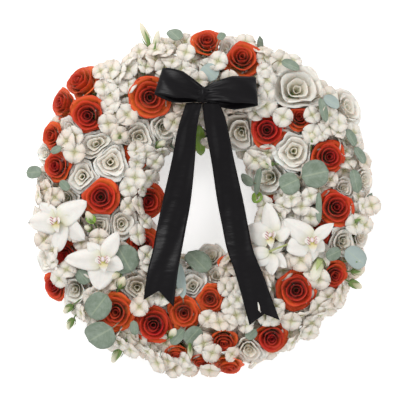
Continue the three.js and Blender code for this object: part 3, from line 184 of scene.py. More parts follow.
# node, middle of the orchid in plan, then each tepal's tip from the middle and its width
orchidRows = [
    ("orchid_left", 58, 220, [(-31, -3, 23), (-19, 17, 14), (29, 19, 21), (27, -20, 21), (0, -32, 21)]),
    ("orchid_left", 104, 259, [(-39, 0, 20), (-16, 17, 13), (15, 28, 15), (20, -9, 16), (-5, -31, 26)]),
    ("orchid_right", 272, 236, [(-28, 7, 25), (-6, 34, 19), (19, 14, 20)]),
    ("orchid_right", 311, 240, [(-28, 21, 19), (-25, -10, 24), (22, 17, 11), (13, -11, 13), (0, -22, 13)]),
    ("orchid_right", 270, 252, [(-24, -1, 12), (-17, -13, 14), (1, -23, 14), (16, -15, 12), (14, 12, 10)]),
]
# left and right edge of each ribbon tail in plan, the row, and the height in mm
tailRows = {
    "ribbon_tail_left": [
        (186, 202, 104, 123), (178, 197, 130, 118), (172, 195, 160, 108), (163, 191, 200, 103),
        (157, 186, 228, 106), (153, 182, 250, 114), (148, 178, 272, 120), (144, 174, 304, 121)],
    "ribbon_tail_right": [
        (203, 219, 104, 124), (204, 226, 122, 119), (211, 234, 160, 109), (217, 243, 200, 104),
        (222, 248, 226, 107), (227, 253, 250, 114), (236, 263, 276, 119), (249, 279, 322, 120)],
}
# the cut end of each tail in plan: left point, notch, right point
notchRows = {"ribbon_tail_left": (299, 290, 306), "ribbon_tail_right": (324, 313, 319)}


def say(*words):
    print("wreath:", *words)


def inPlan(px, py, z=0.0):
    return np.array([(px - plan["centre"][0]) * plan["unit"], (plan["centre"][1] - py) * plan["unit"], z])


def archHeight(radius, spread, rise):
    off = np.minimum(0.97, np.abs(radius - ring["middle"]) / spread)
    return ring["base"] + rise * np.sqrt(1 - off * off)


def coverPoint(px, py, over=0.0):
    point = inPlan(px, py)
    point[2] = archHeight(math.hypot(point[0], point[1]), ring["coverSpread"], ring["coverRise"]) + over
    return point


def unitVector(v):
    v = np.asarray(v, float)
    return v / max(np.linalg.norm(v), 1e-12)


def outwardAt(point):
    radius = math.hypot(point[0], point[1])
    off = min(0.95, max(-0.95, (radius - ring["middle"]) / ring["bloomSpread"]))
    flat = np.array([point[0], point[1], 0.0]) / max(radius, 1e-6) * off * 0.8
    return unitVector(flat + np.array([0, 0, math.sqrt(1 - off * off * 0.8)]))


def footUnder(point):  # where a stem goes into the foam
    inner, outer = ring["foamInner"] + ring["footInset"], ring["foamOuter"] - ring["footInset"]
    radius = min(max(math.hypot(point[0], point[1]), inner), outer)
    flat = unitVector([point[0], point[1], 0.0]) * radius
    return np.array([flat[0], flat[1], ring["footHeight"]])


def sideVectors(axis, turn=0.0):
    across = np.array([0.0, 1.0, 0.0])
    if abs(axis[0]) < 0.99:
        across = unitVector(np.cross([1.0, 0.0, 0.0], axis))
    up = np.cross(axis, across)
    return across * math.cos(turn) + up * math.sin(turn), up * math.cos(turn) - across * math.sin(turn)


def mix(a, b, share):
    share = np.asarray(share, float)[..., None]
    return np.asarray(a, float) * (1 - share) + np.asarray(b, float) * share


# A pile gathers the points, faces and attributes of one object before its mesh is made.
def newPile():
    return {"points": [], "faces": [], "tint": [], "flow": [], "slot": [], "count": 0}


def pileUp(pile, points, faces, tint, flow, slot=0):
    points = np.asarray(points, float).reshape(-1, 3)
    base = pile["count"]
    pile["points"].append(points)
    pile["faces"].extend([tuple(int(i) + base for i in face) for face in faces])
    pile["tint"].append(np.broadcast_to(np.asarray(tint, float), (len(points), 3)).reshape(-1, 3))
    pile["flow"].append(np.broadcast_to(np.asarray(flow, float), (len(points), 3)).reshape(-1, 3))
    pile["slot"].extend([slot] * len(faces))
    pile["count"] += len(points)


def makeObject(name, pile, finishes, shift=True):
    points = np.concatenate(pile["points"])
    if shift:
        points = points + np.array([plan["shift"][0], plan["shift"][1], 0.0])
    mesh = bpy.data.meshes.new(name)
    mesh.from_pydata(points.tolist(), [], pile["faces"])
    tint = np.concatenate(pile["tint"])
    rgba = np.concatenate([tint, np.ones((len(tint), 1))], axis=1).astype(np.float32)
    mesh.attributes.new("tint", "FLOAT_COLOR", "POINT").data.foreach_set("color", rgba.ravel())
    flow = np.concatenate(pile["flow"]).astype(np.float32)
    mesh.attributes.new("flow", "FLOAT_VECTOR", "POINT").data.foreach_set("vector", flow.ravel())
    for finish in finishes:
        mesh.materials.append(finish)
    mesh.polygons.foreach_set("material_index", np.array(pile["slot"], np.int32))
    mesh.polygons.foreach_set("use_smooth", np.ones(len(mesh.polygons), bool))
    mesh.update()
    piece = bpy.data.objects.new(name, mesh)
    bpy.context.collection.objects.link(piece)
    return piece


def gridFaces(rows, columns):
    top = [(r * columns + c, r * columns + c + 1, (r + 1) * columns + c + 1, (r + 1) * columns + c)
           for r in range(rows - 1) for c in range(columns - 1)]
    under = rows * columns
    faces = list(top) + [tuple(i + under for i in reversed(face)) for face in top]
    rim = ([(0, c) for c in range(columns)] + [(r, columns - 1) for r in range(1, rows)]
           + [(rows - 1, c) for c in range(columns - 2, -1, -1)] + [(r, 0) for r in range(rows - 2, 0, -1)])
    rim = [r * columns + c for r, c in rim]
    for k, here in enumerate(rim):
        after = rim[(k + 1) % len(rim)]
        faces.append((after, here, here + under, after + under))
    return faces


# a thin closed petal, leaf or band from a grid of points
def addSheet(pile, grid, tint, flow, thick, slot=0):
    grid = np.asarray(grid, float)
    down, along = np.gradient(grid, axis=0), np.gradient(grid, axis=1)
    normal = np.cross(along, down)
    normal /= np.maximum(np.linalg.norm(normal, axis=2, keepdims=True), 1e-9)
    rows, columns = grid.shape[:2]
    half = normal * thick / 2
    points = np.concatenate([(grid + half).reshape(-1, 3), (grid - half).reshape(-1, 3)])
    tint = np.broadcast_to(tint, grid.shape).reshape(-1, 3)
    flow = np.broadcast_to(flow, grid.shape).reshape(-1, 3)
    faces = gridFaces(rows, columns)
    pileUp(pile, points, faces, np.concatenate([tint, tint]), np.concatenate([flow, flow]), slot)


def ringFaces(rings, sides):  # the faces of a closed tube
    faces = []
    for k in range(rings - 1):
        for s in range(sides):
            here, after = k * sides, (s + 1) % sides
            faces.append((here + s, here + after, here + sides + after, here + sides + s))
    last = (rings - 1) * sides
    return faces + [tuple(reversed(range(sides))), tuple(last + s for s in range(sides))]


def leafGrid(rows, columns):  # how far along and how far across each point of a leaf is
    return np.meshgrid(np.linspace(0, 1, rows), np.linspace(-1, 1, columns), indexing="ij")


def addTube(pile, path, radii, tint, sides=6, slot=0):
    path = np.asarray(path, float)
    radii = np.broadcast_to(radii, len(path))
    rings = []
    for k, point in enumerate(path):
        along = unitVector(path[min(k + 1, len(path) - 1)] - path[max(k - 1, 0)])
        a, b = sideVectors(along)
        angles = np.arange(sides) / sides * 2 * math.pi
        rings.append(point + radii[k] * (np.cos(angles)[:, None] * a + np.sin(angles)[:, None] * b))
    tint = np.asarray(tint, float)
    if tint.ndim == 2:
        tint = np.repeat(tint, sides, axis=0)
    flow = np.array([[s / sides, k / len(path), 0.5] for k in range(len(path)) for s in range(sides)])
    pileUp(pile, np.concatenate(rings), ringFaces(len(path), sides), tint, flow, slot)


def curved(start, end, lean, count=5):  # a stem that leaves along lean and bends to its end
    t = np.linspace(0, 1, count)[:, None]
    middle = np.asarray(start) + np.asarray(lean) * np.linalg.norm(np.asarray(end) - np.asarray(start)) * 0.5
    return (1 - t) ** 2 * start + 2 * t * (1 - t) * middle + t * t * end


# Blooms
bloomForm = {"rose": {"spread": 1.18}, "white": {"spread": 1.42}}


def siteOf(row, form):
    node, px, py, width, leanX, leanY, tone, drop = row
    centre = inPlan(px, py)
    radius = math.hypot(centre[0], centre[1])
    centre[2] = archHeight(radius, ring["bloomSpread"], ring["bloomRise"]) - drop / 1000
    axis = np.array([leanX, leanY, math.sqrt(1 - leanX ** 2 - leanY ** 2)])
    firm = width / 2 * plan["unit"] * 1.05
    return {"node": node, "form": form, "centre": centre, "axis": axis, "firm": firm, "tone": tone,
            "radius": firm * bloomForm[form]["spread"], "turn": rng.random() * 6.28, "walls": []}


sites = [siteOf(row, "rose") for row in roseRows] + [siteOf(row, "white") for row in whiteRows]
for site in sites:
    for other in sites:  # where two blooms meet, each gives way to a plane between their firm middles
        apart = other["centre"] - site["centre"]
        distance = np.linalg.norm(apart)
        if other is site or distance > site["radius"] + other["radius"] + 0.001:
            continue
        reach = (distance ** 2 + site["firm"] ** 2 - other["firm"] ** 2) / (2 * distance) - 0.0002
        site["walls"].append((apart / distance, reach))


def shareOf(site, offset):  # how much of its full size a bloom has in each direction
    length = np.maximum(np.linalg.norm(offset, axis=-1), 1e-9)
    share = np.ones(length.shape)
    for way, reach in site["walls"]:
        toward = offset @ way / length
        room = reach / np.maximum(toward * site["radius"], 1e-9)
        share = np.where(toward > 0.02, np.minimum(share, room), share)
    return share


def pressed(site, unit):
    across, up = sideVectors(site["axis"], site["turn"])
    offset = (unit[..., 0:1] * across + unit[..., 1:2] * up + unit[..., 2:3] * site["axis"]) * site["radius"]
    return site["centre"] + offset * shareOf(site, offset)[..., None]


bloomOutline = ([-0.86, -0.8, -0.42, 0.28, 0.66, 0.74], [0.0, 0.13, 0.74, 1.03, 0.78, 0.0])


def bloomGap(points):  # how far points are clear of every bloom
    points = np.atleast_2d(points)
    least = np.full(len(points), 0.05)
    for site in sites:
        offset = points - site["centre"]
        near = np.linalg.norm(offset, axis=1) < site["radius"] + 0.04
        if not near.any():
            continue
        offset = offset[near]
        height = offset @ site["axis"]
        across = np.sqrt(np.maximum(0, (offset ** 2).sum(axis=1) - height ** 2))
        size = site["radius"] * shareOf(site, offset)
        over = np.maximum(height - 0.74 * size, -0.86 * size - height)
        beside = across - np.interp(height / size, *bloomOutline) * size - 0.0004
        gap = np.where(over > 0, np.hypot(over, np.maximum(0, beside)), beside)
        least[near] = np.minimum(least[near], gap)
    return least


def topUnder(point):  # the height of the flowers under a place
    heights = np.arange(0.135, 0.04, -0.0015)
    column = np.array([[point[0], point[1], z] for z in heights])
    inside = np.nonzero(bloomGap(column) < 0.0006)[0]
    return heights[inside[0]] if len(inside) else 0.04


def cupPetal(angle, width, rim, foot, low, high, curl, ruffle, rows=7, columns=9):
    u = np.linspace(-1, 1, columns)[None, :]
    v = np.linspace(0, 1, rows)[:, None]
    lift = v * (1 - 0.16 * u ** 2 * v)
    spanHere = width * (0.42 + 0.58 * np.sin(np.minimum(v * 1.25, 1) * math.pi / 2))
    turn = angle + u * spanHere / 2
    radius = foot + (rim - foot) * np.sin(lift * math.pi / 2) ** 0.75
    radius = radius * (1 + 0.06 * u) + curl * np.maximum(0, lift - 0.62) ** 1.6 * 2.6
    radius = radius + 0.06 * np.abs(u) ** 3 * lift * rim
    height = low + (high - low) * lift ** 0.85 - curl * np.maximum(0, lift - 0.8) ** 1.5 * 3.2
    phase = rng.random() * 6.28
    wave = ruffle * lift ** 2.5
    radius = radius + wave * np.sin(u * 4.6 + phase)
    height = height + wave * np.cos(u * 5.7 + phase * 1.7) * 0.8
    grid = np.stack([radius * np.cos(turn), radius * np.sin(turn), height + 0 * turn], axis=2)
    flow = np.stack([u + 0 * v, v + 0 * u, np.full((rows, columns), rng.random())], axis=2)
    return grid, flow


roseLook = {
    # ring of petals: count, width, rim, foot, low, high, curl, ruffle
    "rings": [(2, 3.5, 0.13, 0.04, -0.35, 0.58, 0.01, 0.006), (3, 2.6, 0.25, 0.08, -0.38, 0.63, 0.05, 0.012),
              (3, 2.6, 0.41, 0.13, -0.44, 0.60, 0.14, 0.018), (4, 2.3, 0.58, 0.19, -0.50, 0.50, 0.26, 0.026),
              (5, 2.1, 0.76, 0.26, -0.58, 0.27, 0.40, 0.042)],
    "red": (0.62, 0.012, 0.012), "darkRed": (0.22, 0.002, 0.006),
    "orange": (0.86, 0.130, 0.022), "yellow": (0.93, 0.40, 0.07), "green": (0.13, 0.22, 0.06),
    "stem": 0.0019,
}
whiteLook = {
    "rings": [(3, 2.8, 0.14, 0.03, -0.40, 0.14, 0.02, 0.014), (3, 2.6, 0.34, 0.08, -0.42, 0.27, 0.10, 0.032),
              (4, 2.4, 0.58, 0.14, -0.48, 0.32, 0.22, 0.050), (5, 2.1, 0.82, 0.22, -0.58, 0.20, 0.30, 0.070)],
    "white": (0.90, 0.86, 0.80), "shade": (0.82, 0.75, 0.64), "heart": (0.55, 0.57, 0.25),
    "green": (0.18, 0.26, 0.09), "stem": 0.0013,
}
petalThick = 0.00035
fullTurn = 6.283
# the green cup as shares of the bloom's radius: each level's height and width, and the sepals as petals
cupLook = {"sides": 12, "levels": [(-0.86, 0.10), (-0.8, 0.16), (-0.7, 0.24), (-0.58, 0.28), (-0.5, 0.2)],
           "sepals": 5, "sepal": (0.75, 0.80, 0.2, -0.72, -0.05, 0.22, 0.01)}


def addBloom(pile, site):
    look = roseLook if site["form"] == "rose" else whiteLook
    rings = look["rings"]
    for k, (count, width, rim, foot, low, high, curl, ruffle) in enumerate(rings):
        layer = k / (len(rings) - 1)
        start = rng.random() * 6.28
        for petal in range(count):
            angle = start + (petal + rng.normal(0, 0.07)) / count * 2 * math.pi
            tall = high + rng.normal(0, 0.018 + 0.02 * layer)
            wide = rim * (1 + rng.normal(0, 0.03))
            grid, flow = cupPetal(angle, width, wide, foot, low, tall, curl, ruffle)
            v = flow[..., 1]
            light = 1 + rng.normal(0, 0.06)
            if site["form"] == "rose":
                warmth = min(1.0, site["tone"] * 0.55 + layer ** 2 * 0.6 + rng.normal(0, 0.08))
                outer = mix(look["red"], look["orange"], max(0.0, warmth))
                inner = mix(look["darkRed"], look["yellow"], min(1.0, max(0.0, warmth * 1.1 - 0.25)))
                tint = inner + (outer - inner) * (v[..., None] ** 1.3)
                edge = np.maximum(0, v - 0.88)[..., None] / 0.12  # the rim is a deeper red
                tint = tint + (np.array(look["red"]) - tint) * edge * 0.45
                # the inner rings are scaled darker towards the middle: painted shade inside the cup
                tint = tint * (0.66 + 0.34 * layer ** 0.6) * light * (1 + rng.normal(0, 0.05))
            else:
                outer = mix(look["shade"], look["white"], 0.45 + 0.55 * layer)
                tint = mix(look["heart"], look["shade"], min(1, 0.25 + layer * 1.2))
                tint = tint + (outer - tint) * (v[..., None] ** 0.7)
                tint = tint * light
            addSheet(pile, pressed(site, grid), np.clip(tint, 0, 0.95), flow, petalThick)
    addCup(pile, site, look)


def addCup(pile, site, look):  # the green cup under a bloom, its sepals and its stem
    sides, levels = cupLook["sides"], cupLook["levels"]
    angles = np.arange(sides) / sides * 2 * math.pi
    cup = np.array([[(r * math.cos(a), r * math.sin(a), h) for a in angles] for h, r in levels])
    pileUp(pile, pressed(site, cup), ringFaces(len(levels), sides), look["green"], (0, 0.5, 0.5), 1)
    for k in range(cupLook["sepals"]):
        grid, flow = cupPetal(k / cupLook["sepals"] * fullTurn + 0.3, *cupLook["sepal"], 5, 3)
        grid[..., :2] *= (1 - 0.75 * flow[..., 1:2] ** 2 * np.abs(flow[..., 0:1]) * 0.3)
        narrow = 1 - flow[..., 1] ** 1.5 * 0.9
        turn = np.arctan2(grid[..., 1], grid[..., 0])
        middle = np.arctan2(grid[:, 1:2, 1], grid[:, 1:2, 0])
        turn = middle + np.arctan2(np.sin(turn - middle), np.cos(turn - middle)) * narrow
        radius = np.hypot(grid[..., 0], grid[..., 1])
        grid = np.stack([radius * np.cos(turn), radius * np.sin(turn), grid[..., 2]], axis=2)
        addSheet(pile, pressed(site, grid), np.array(look["green"]) * 1.3, flow, 0.0004, 1)
    base = site["centre"] - site["axis"] * site["radius"] * 0.84
    path = curved(base, footUnder(base), -site["axis"], 6)
    addTube(pile, path, look["stem"], np.array(look["green"]) * 0.8, 6, 1)


# a pointed bud with its petals wound round it
def addBud(pile, px, py, tipX, tipY, width, tones):
    base, tip = coverPoint(px, py, -0.014), coverPoint(tipX, tipY, -0.006)
    axis = unitVector(tip - base)
    length = np.linalg.norm(tip - base)
    a, b = sideVectors(axis)
    rings, sides = 9, 10
    points, tints = [], []
    for k in range(rings):
        v = k / (rings - 1)
        swell = math.sin(min(1, v * 1.35 + 0.12) * math.pi / 2)
        radius = width * plan["unit"] * 0.5 * (swell * math.sqrt(max(0.0, 1 - v ** 2.2)) + 0.02)
        for s in range(sides):
            angle = s / sides * 2 * math.pi
            wound = 1 + 0.13 * math.cos(3 * angle + 5 * v)
            out = a * math.cos(angle) + b * math.sin(angle)
            points.append(base + axis * length * v + out * radius * wound)
            tints.append(mix(tones[0], tones[1], min(1, max(0, v * 1.5 - 0.15))))
    flow = [[s / sides, k / rings, 0.4] for k in range(rings) for s in range(sides)]
    pileUp(pile, points, ringFaces(rings, sides), np.array(tints), np.array(flow))
    for k in range(4):  # sepals
        angle = k / 4 * fullTurn
        out = a * math.cos(angle) + b * math.sin(angle)
        side = np.cross(axis, out)
        v, u = leafGrid(5, 3)
        reach = width * plan["unit"] * 0.55 * np.sin(np.minimum(1, v * 1.6 + 0.15) * math.pi / 2)
        grid = (base + axis * (v * length * 0.6)[..., None] + out * reach[..., None]
                + side * (u * width * plan["unit"] * 0.22 * (1 - v ** 1.5))[..., None])
        addSheet(pile, grid, tones[2], np.stack([u, v, v * 0 + 0.3], axis=2), 0.0003, 1)
    addTube(pile, curved(base, footUnder(base), -axis * 0.8, 7), 0.0011, np.array(tones[2]) * 0.9, 6, 1)


covers = []  # what lies over the florets: two ends and half a width


def coverOver(start, end, half):
    covers.append((np.array(start), np.array(end), half))


def roomUnder(x, y):  # the height under the leaves, orchids and ribbon at a place
    lowest = 1.0
    for start, end, half in covers:
        along = (end - start)[:2]
        passed = (x - start[0]) * along[0] + (y - start[1]) * along[1]
        share = np.clip(passed / max(along @ along, 1e-9), 0, 1)
        spot = start + (end - start) * share
        if math.hypot(x - spot[0], y - spot[1]) < half + 0.007:
            lowest = min(lowest, spot[2] - floretLook["under"])
    return lowest


# Leaves
leafLook = {
    "powder": (0.18, 0.235, 0.17), "blue": (0.36, 0.44, 0.42), "fresh": (0.22, 0.29, 0.13),
    "bright": (0.24, 0.42, 0.03), "dark": (0.12, 0.19, 0.12), "stem": (0.30, 0.24, 0.15),
    "cup": 0.10, "thick": 0.0004,
}


def addLeaf(pile, base, tip, width, tint, rows=11, columns=9):
    normal = outwardAt((base + tip) / 2)
    along = tip - base
    length = np.linalg.norm(along)
    side = unitVector(np.cross(normal, along))
    up = unitVector(np.cross(along, side))
    v, u = leafGrid(rows, columns)
    half = width / 2 * np.sqrt(np.maximum(0.0, 1 - (2 * v - 1) ** 2)) ** 0.85 + 0.0002
    bend = rng.normal(0, 0.03) + leafLook["cup"] * 0.3
    rise = leafLook["cup"] * width * (u ** 2) * np.sin(v * math.pi) - bend * length * (v - 0.4) ** 2
    rise = rise + 0.014 * width * np.sin(u * 5 + v * 7 + rng.random() * 6) * np.abs(u)
    grid = (base + along * v[..., None] + side * (u * half)[..., None] + up * rise[..., None])
    flow = np.stack([u, v, np.full(u.shape, rng.random())], axis=2)
    shade = 1 + 0.10 * (1 - np.abs(u)) ** 6 - 0.08 * np.abs(u) ** 3
    tint = np.array(tint) * shade[..., None] * (1 + rng.normal(0, 0.07))
    addSheet(pile, grid, tint, flow, leafLook["thick"])
    stalk = curved(base + along * 0.02, footUnder(base), -unitVector(along) * 0.5, 6)
    addTube(pile, stalk, 0.0009, leafLook["stem"], 5, 1)


# Materials
def newFinish(name):
    material = bpy.data.materials.new(name)
    material.use_nodes = True
    nodes, links = material.node_tree.nodes, material.node_tree.links
    return material, nodes, links, nodes["Principled BSDF"]


def addNode(nodes, kind, **values):
    node = nodes.new(kind)
    for key, value in values.items():
        if key in node.inputs:
            node.inputs[key].default_value = value
        else:
            setattr(node, key, value)
    return node


def setSockets(node, values):
    for socket, value in values.items():
        node.inputs[socket].default_value = value


def addNoise(nodes, links, place, **values):
    noise = addNode(nodes, "ShaderNodeTexNoise", **values)
    links.new(place, noise.inputs["Vector"])
    return noise.outputs["Fac"]


def addRange(nodes, links, source, low, high, least=0.0, most=1.0):
    node = addNode(nodes, "ShaderNodeMapRange")
    setSockets(node, {"From Min": low, "From Max": high, "To Min": least, "To Max": most})
    links.new(source, node.inputs["Value"])
    return node.outputs["Result"]


def addMath(nodes, links, operation, *parts, clamp=False):  # each part is a number or a socket
    node = addNode(nodes, "ShaderNodeMath", operation=operation, use_clamp=clamp)
    for k, part in enumerate(parts):
        if isinstance(part, float):
            node.inputs[k].default_value = part
        else:
            links.new(part, node.inputs[k])
    return node.outputs[0]


def addTone(nodes, links, source, dark, pale):
    tone = addNode(nodes, "ShaderNodeValToRGB")
    tone.color_ramp.elements[0].color, tone.color_ramp.elements[1].color = (*dark, 1), (*pale, 1)
    links.new(source, tone.inputs["Fac"])
    return tone.outputs["Color"]


def addBump(nodes, links, height, strength, distance, under=None):
    bump = addNode(nodes, "ShaderNodeBump", Strength=strength, Distance=distance)
    links.new(height, bump.inputs["Height"])
    if under is not None:
        links.new(under, bump.inputs["Normal"])
    return bump.outputs["Normal"]


def petalFinish(name, roughness, sheen, vein, subsurface, sheenTint=(1, 1, 1, 1), blush=None):
    material, nodes, links, shader = newFinish(name)
    tint = addNode(nodes, "ShaderNodeAttribute", attribute_name="tint")
    flow = addNode(nodes, "ShaderNodeAttribute", attribute_name="flow")
    stretch = addNode(nodes, "ShaderNodeVectorMath", operation="MULTIPLY")
    stretch.inputs[1].default_value = (9.0, 1.6, 31.0)
    links.new(flow.outputs["Vector"], stretch.inputs[0])
    veins = addNoise(nodes, links, stretch.outputs[0], Scale=1.0, Detail=5.0, Roughness=0.65)
    place = addNode(nodes, "ShaderNodeTexCoord").outputs["Object"]
    cloud = addNoise(nodes, links, place, Scale=160.0, Detail=3.0)
    both = addMath(nodes, links, "ADD", veins, cloud)
    colour = addNode(nodes, "ShaderNodeVectorMath", operation="SCALE")
    links.new(tint.outputs["Color"], colour.inputs[0])
    links.new(addRange(nodes, links, both, 0.65, 1.35, 1 - vein, 1 + vein * 0.6), colour.inputs["Scale"])
    shown = colour.outputs[0]
    if blush:  # some heads are pinker or creamier than others
        broad = addNoise(nodes, links, place, Scale=11.0, Detail=2.0)
        tinged = addNode(nodes, "ShaderNodeMix", data_type="RGBA", blend_type="MULTIPLY")
        tinged.inputs[7].default_value = (*blush, 1)
        links.new(addRange(nodes, links, broad, 0.46, 0.66, most=0.75), tinged.inputs["Factor"])
        links.new(shown, tinged.inputs[6])
        shown = tinged.outputs[2]
    links.new(shown, shader.inputs["Base Color"])
    links.new(addBump(nodes, links, both, 0.35, 0.0006), shader.inputs["Normal"])
    setSockets(shader, {
        "Roughness": roughness, "Sheen Weight": sheen, "Sheen Roughness": 0.4, "Sheen Tint": sheenTint,
        "Subsurface Weight": subsurface, "Subsurface Radius": (1.0, 0.6, 0.5), "Subsurface Scale": 0.0015,
        "Specular IOR Level": 0.3})
    return material


def leafFinish(name):
    material, nodes, links, shader = newFinish(name)
    tint = addNode(nodes, "ShaderNodeAttribute", attribute_name="tint")
    flow = addNode(nodes, "ShaderNodeAttribute", attribute_name="flow")
    parts = addNode(nodes, "ShaderNodeSeparateXYZ")
    links.new(flow.outputs["Vector"], parts.inputs[0])
    across = addMath(nodes, links, "ABSOLUTE", parts.outputs["X"])
    slant = addMath(nodes, links, "MULTIPLY_ADD", across, -0.45, parts.outputs["Y"])  # side veins run up
    wave = addMath(nodes, links, "SINE", addMath(nodes, links, "MULTIPLY", slant, 50.0))
    side = addRange(nodes, links, wave, 0.82, 1.0)
    middle = addRange(nodes, links, across, 0.09, 0.02)
    veins = addMath(nodes, links, "MULTIPLY_ADD", side, 0.35, middle, clamp=True)
    place = addNode(nodes, "ShaderNodeTexCoord").outputs["Object"]
    powder = addNoise(nodes, links, place, Scale=90.0, Detail=7.0, Roughness=0.7)
    pale = addNode(nodes, "ShaderNodeMix", data_type="RGBA")
    pale.inputs[7].default_value = (0.50, 0.56, 0.50, 1)
    links.new(addRange(nodes, links, powder, 0.42, 0.72, most=0.35), pale.inputs["Factor"])
    links.new(tint.outputs["Color"], pale.inputs[6])
    veined = addNode(nodes, "ShaderNodeMix", data_type="RGBA")
    veined.inputs[7].default_value = (0.42, 0.47, 0.32, 1)
    links.new(addMath(nodes, links, "MULTIPLY", veins, 0.4), veined.inputs["Factor"])
    links.new(pale.outputs[2], veined.inputs[6])
    links.new(veined.outputs[2], shader.inputs["Base Color"])
    links.new(addBump(nodes, links, veins, 0.4, 0.0005), shader.inputs["Normal"])
    setSockets(shader, {"Roughness": 0.62, "Sheen Weight": 0.25, "Sheen Roughness": 0.5,
                        "Specular IOR Level": 0.35})
    return material


def satinFinish(name):
    material, nodes, links, shader = newFinish(name)
    place = addNode(nodes, "ShaderNodeTexCoord").outputs["Object"]
    turned = addNode(nodes, "ShaderNodeMapping", Rotation=(0, 0, 0.6), Scale=(1.0, 5.0, 1.0))
    links.new(place, turned.inputs["Vector"])
    creases = addNoise(nodes, links, turned.outputs[0], Scale=14.0, Detail=4.0, Roughness=0.55)
    threads = addNoise(nodes, links, turned.outputs[0], Scale=900.0, Detail=2.0)
    folds = addBump(nodes, links, creases, 0.45, 0.004)
    links.new(addBump(nodes, links, threads, 0.15, 0.0002, folds), shader.inputs["Normal"])
    # the base colour follows the crease height that also drives the fold bump: darker in the fold hollows and
    # paler on their ridges, as painted shade and painted highlight
    tone = addTone(nodes, links, creases, (0.0022, 0.0018, 0.0024), (0.0060, 0.0048, 0.0062))
    links.new(tone, shader.inputs["Base Color"])
    setSockets(shader, {"Roughness": 0.34, "Specular IOR Level": 0.16, "Sheen Weight": 0.012,
                        "Sheen Tint": (0.75, 0.65, 0.78, 1)})
    return material


def roughFinish(name, colour, paler, scale, roughness, strength, distance):
    material, nodes, links, shader = newFinish(name)
    place = addNode(nodes, "ShaderNodeTexCoord").outputs["Object"]
    noise = addNoise(nodes, links, place, Scale=scale, Detail=6.0, Roughness=0.7)
    links.new(addTone(nodes, links, noise, colour, paler), shader.inputs["Base Color"])
    links.new(addBump(nodes, links, noise, strength, distance), shader.inputs["Normal"])
    shader.inputs["Roughness"].default_value = roughness
    return material


finishes = {
    "rose": petalFinish("roseVelvet", 0.55, 0.25, 0.13, 0.10, (1.0, 0.6, 0.5, 1)),
    "white": petalFinish("whitePetal", 0.6, 0.05, 0.06, 0.25, blush=(0.98, 0.93, 0.88)),
    "floret": petalFinish("floretPetal", 0.62, 0.05, 0.08, 0.2, blush=(0.97, 0.86, 0.80)),
    "orchid": petalFinish("orchidWax", 0.45, 0.05, 0.06, 0.2),
    "stem": petalFinish("stemSkin", 0.5, 0.1, 0.15, 0.05),
    "leaf": leafFinish("powderyLeaf"),
    "satin": satinFinish("blackSatin"),
    # dark and pale colour, scale of the grain, roughness, strength and depth of the grain
    "foam": roughFinish("wetFoam", (0.012, 0.05, 0.016), (0.03, 0.11, 0.04), 700, 0.9, 0.6, 0.001),
    "tray": roughFinish("blackTray", (0.010, 0.011, 0.010), (0.016, 0.017, 0.016), 900, 0.45, 0.12, 0.0003),
}
say("materials made")

# Roses, one object for each node
for node in dict.fromkeys(site["node"] for site in sites if site["form"] == "rose"):
    pile = newPile()
    blooms = [site for site in sites if site["node"] == node]
    for site in blooms:
        addBloom(pile, site)
    piece = makeObject("bloom_" + node, pile, [finishes["rose"], finishes["stem"]])
    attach(piece, "root")
    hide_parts(node)
    tone = next(row["material_slot"] for row in frame["record"]["subparts"] if row["node"] == node)
say("roses made")

# Lisianthus sprays
budTones = ((0.34, 0.40, 0.14), (0.78, 0.74, 0.60), (0.16, 0.26, 0.07))
for node in dict.fromkeys(row[0] for row in whiteRows):
    pile = newPile()
    for site in (site for site in sites if site["node"] == node):
        addBloom(pile, site)
    for row in (row for row in budRows if row[0] == node):
        addBud(pile, *row[1:], budTones)
    piece = makeObject("spray_" + node, pile, [finishes["white"], finishes["stem"]])
    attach(piece, "root")
    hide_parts(node)
say("lisianthus made")

# Eucalyptus and the other leaves
brightLeaves = {(199, 125), (263, 196), (96, 222)}
blueLeaves = {(183, 298), (203, 66), (323, 98), (345, 249)}
for node in dict.fromkeys(row[0] for row in leafRows):
    pile = newPile()
    for _, bx, by, tx, ty, width, lift in (row for row in leafRows if row[0] == node):
        base, tip = coverPoint(bx, by, -0.004), coverPoint(tx, ty, lift / 1000 - 0.004)
        samples = [base + (tip - base) * share for share in (0.1, 0.35, 0.65, 0.95)]
        rise = max(max(topUnder(point) + 0.0012 - point[2] for point in samples), -0.008)
        base[2] += rise
        tip[2] += rise
        tone = "bright" if (bx, by) in brightLeaves else "blue" if (bx, by) in blueLeaves else "powder"
        addLeaf(pile, base, tip, width * plan["unit"], leafLook[tone])
        coverOver(base, tip, width * plan["unit"] * 0.42)
    piece = makeObject("leaves_" + node, pile, [finishes["leaf"], finishes["stem"]])
    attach(piece, "root")
    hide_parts(node)
say("leaves made")

# Orchids
orchidLook = {"white": (0.86, 0.82, 0.77), "throat": (0.66, 0.58, 0.10), "speck": (0.42, 0.02, 0.08),
              "heart": (0.62, 0.62, 0.36), "layers": (0.0, 0.0025, 0.0, 0.0025, 0.0036), "lip": 0.021}


def addTepal(pile, root, tip, width, normal, broad, tint):
    along = tip - root
    length = np.linalg.norm(along)
    side = unitVector(np.cross(normal, along))
    up = unitVector(np.cross(along, side))
    v, u = leafGrid(13, 11)
    fullness, blunt = (0.55, 0.55) if broad else (0.8, 0.75)
    half = width / 2 * np.sin(np.clip(v, 0, 1) ** fullness * math.pi) ** blunt + 0.0012 * (1 - v)
    phase = rng.random() * 6
    rise = -0.13 * length * (v - 0.3) ** 2 - 0.10 * width * u ** 2 * np.sin(v * math.pi)
    rise = rise + 0.03 * width * np.sin(u * 3.5 + v * 5 + phase) * v
    grid = root + along * v[..., None] + side * (u * half)[..., None] + up * rise[..., None]
    shade = mix(tint, orchidLook["heart"], 0.75 * np.clip(1 - v * 2.6, 0, 1) ** 1.5)
    shade = shade * (1 - 0.09 * np.exp(-(u * 5) ** 2) * (1 - v * 0.6))[..., None]
    addSheet(pile, grid, shade, np.stack([u, v, v * 0 + rng.random()], axis=2), 0.0006)


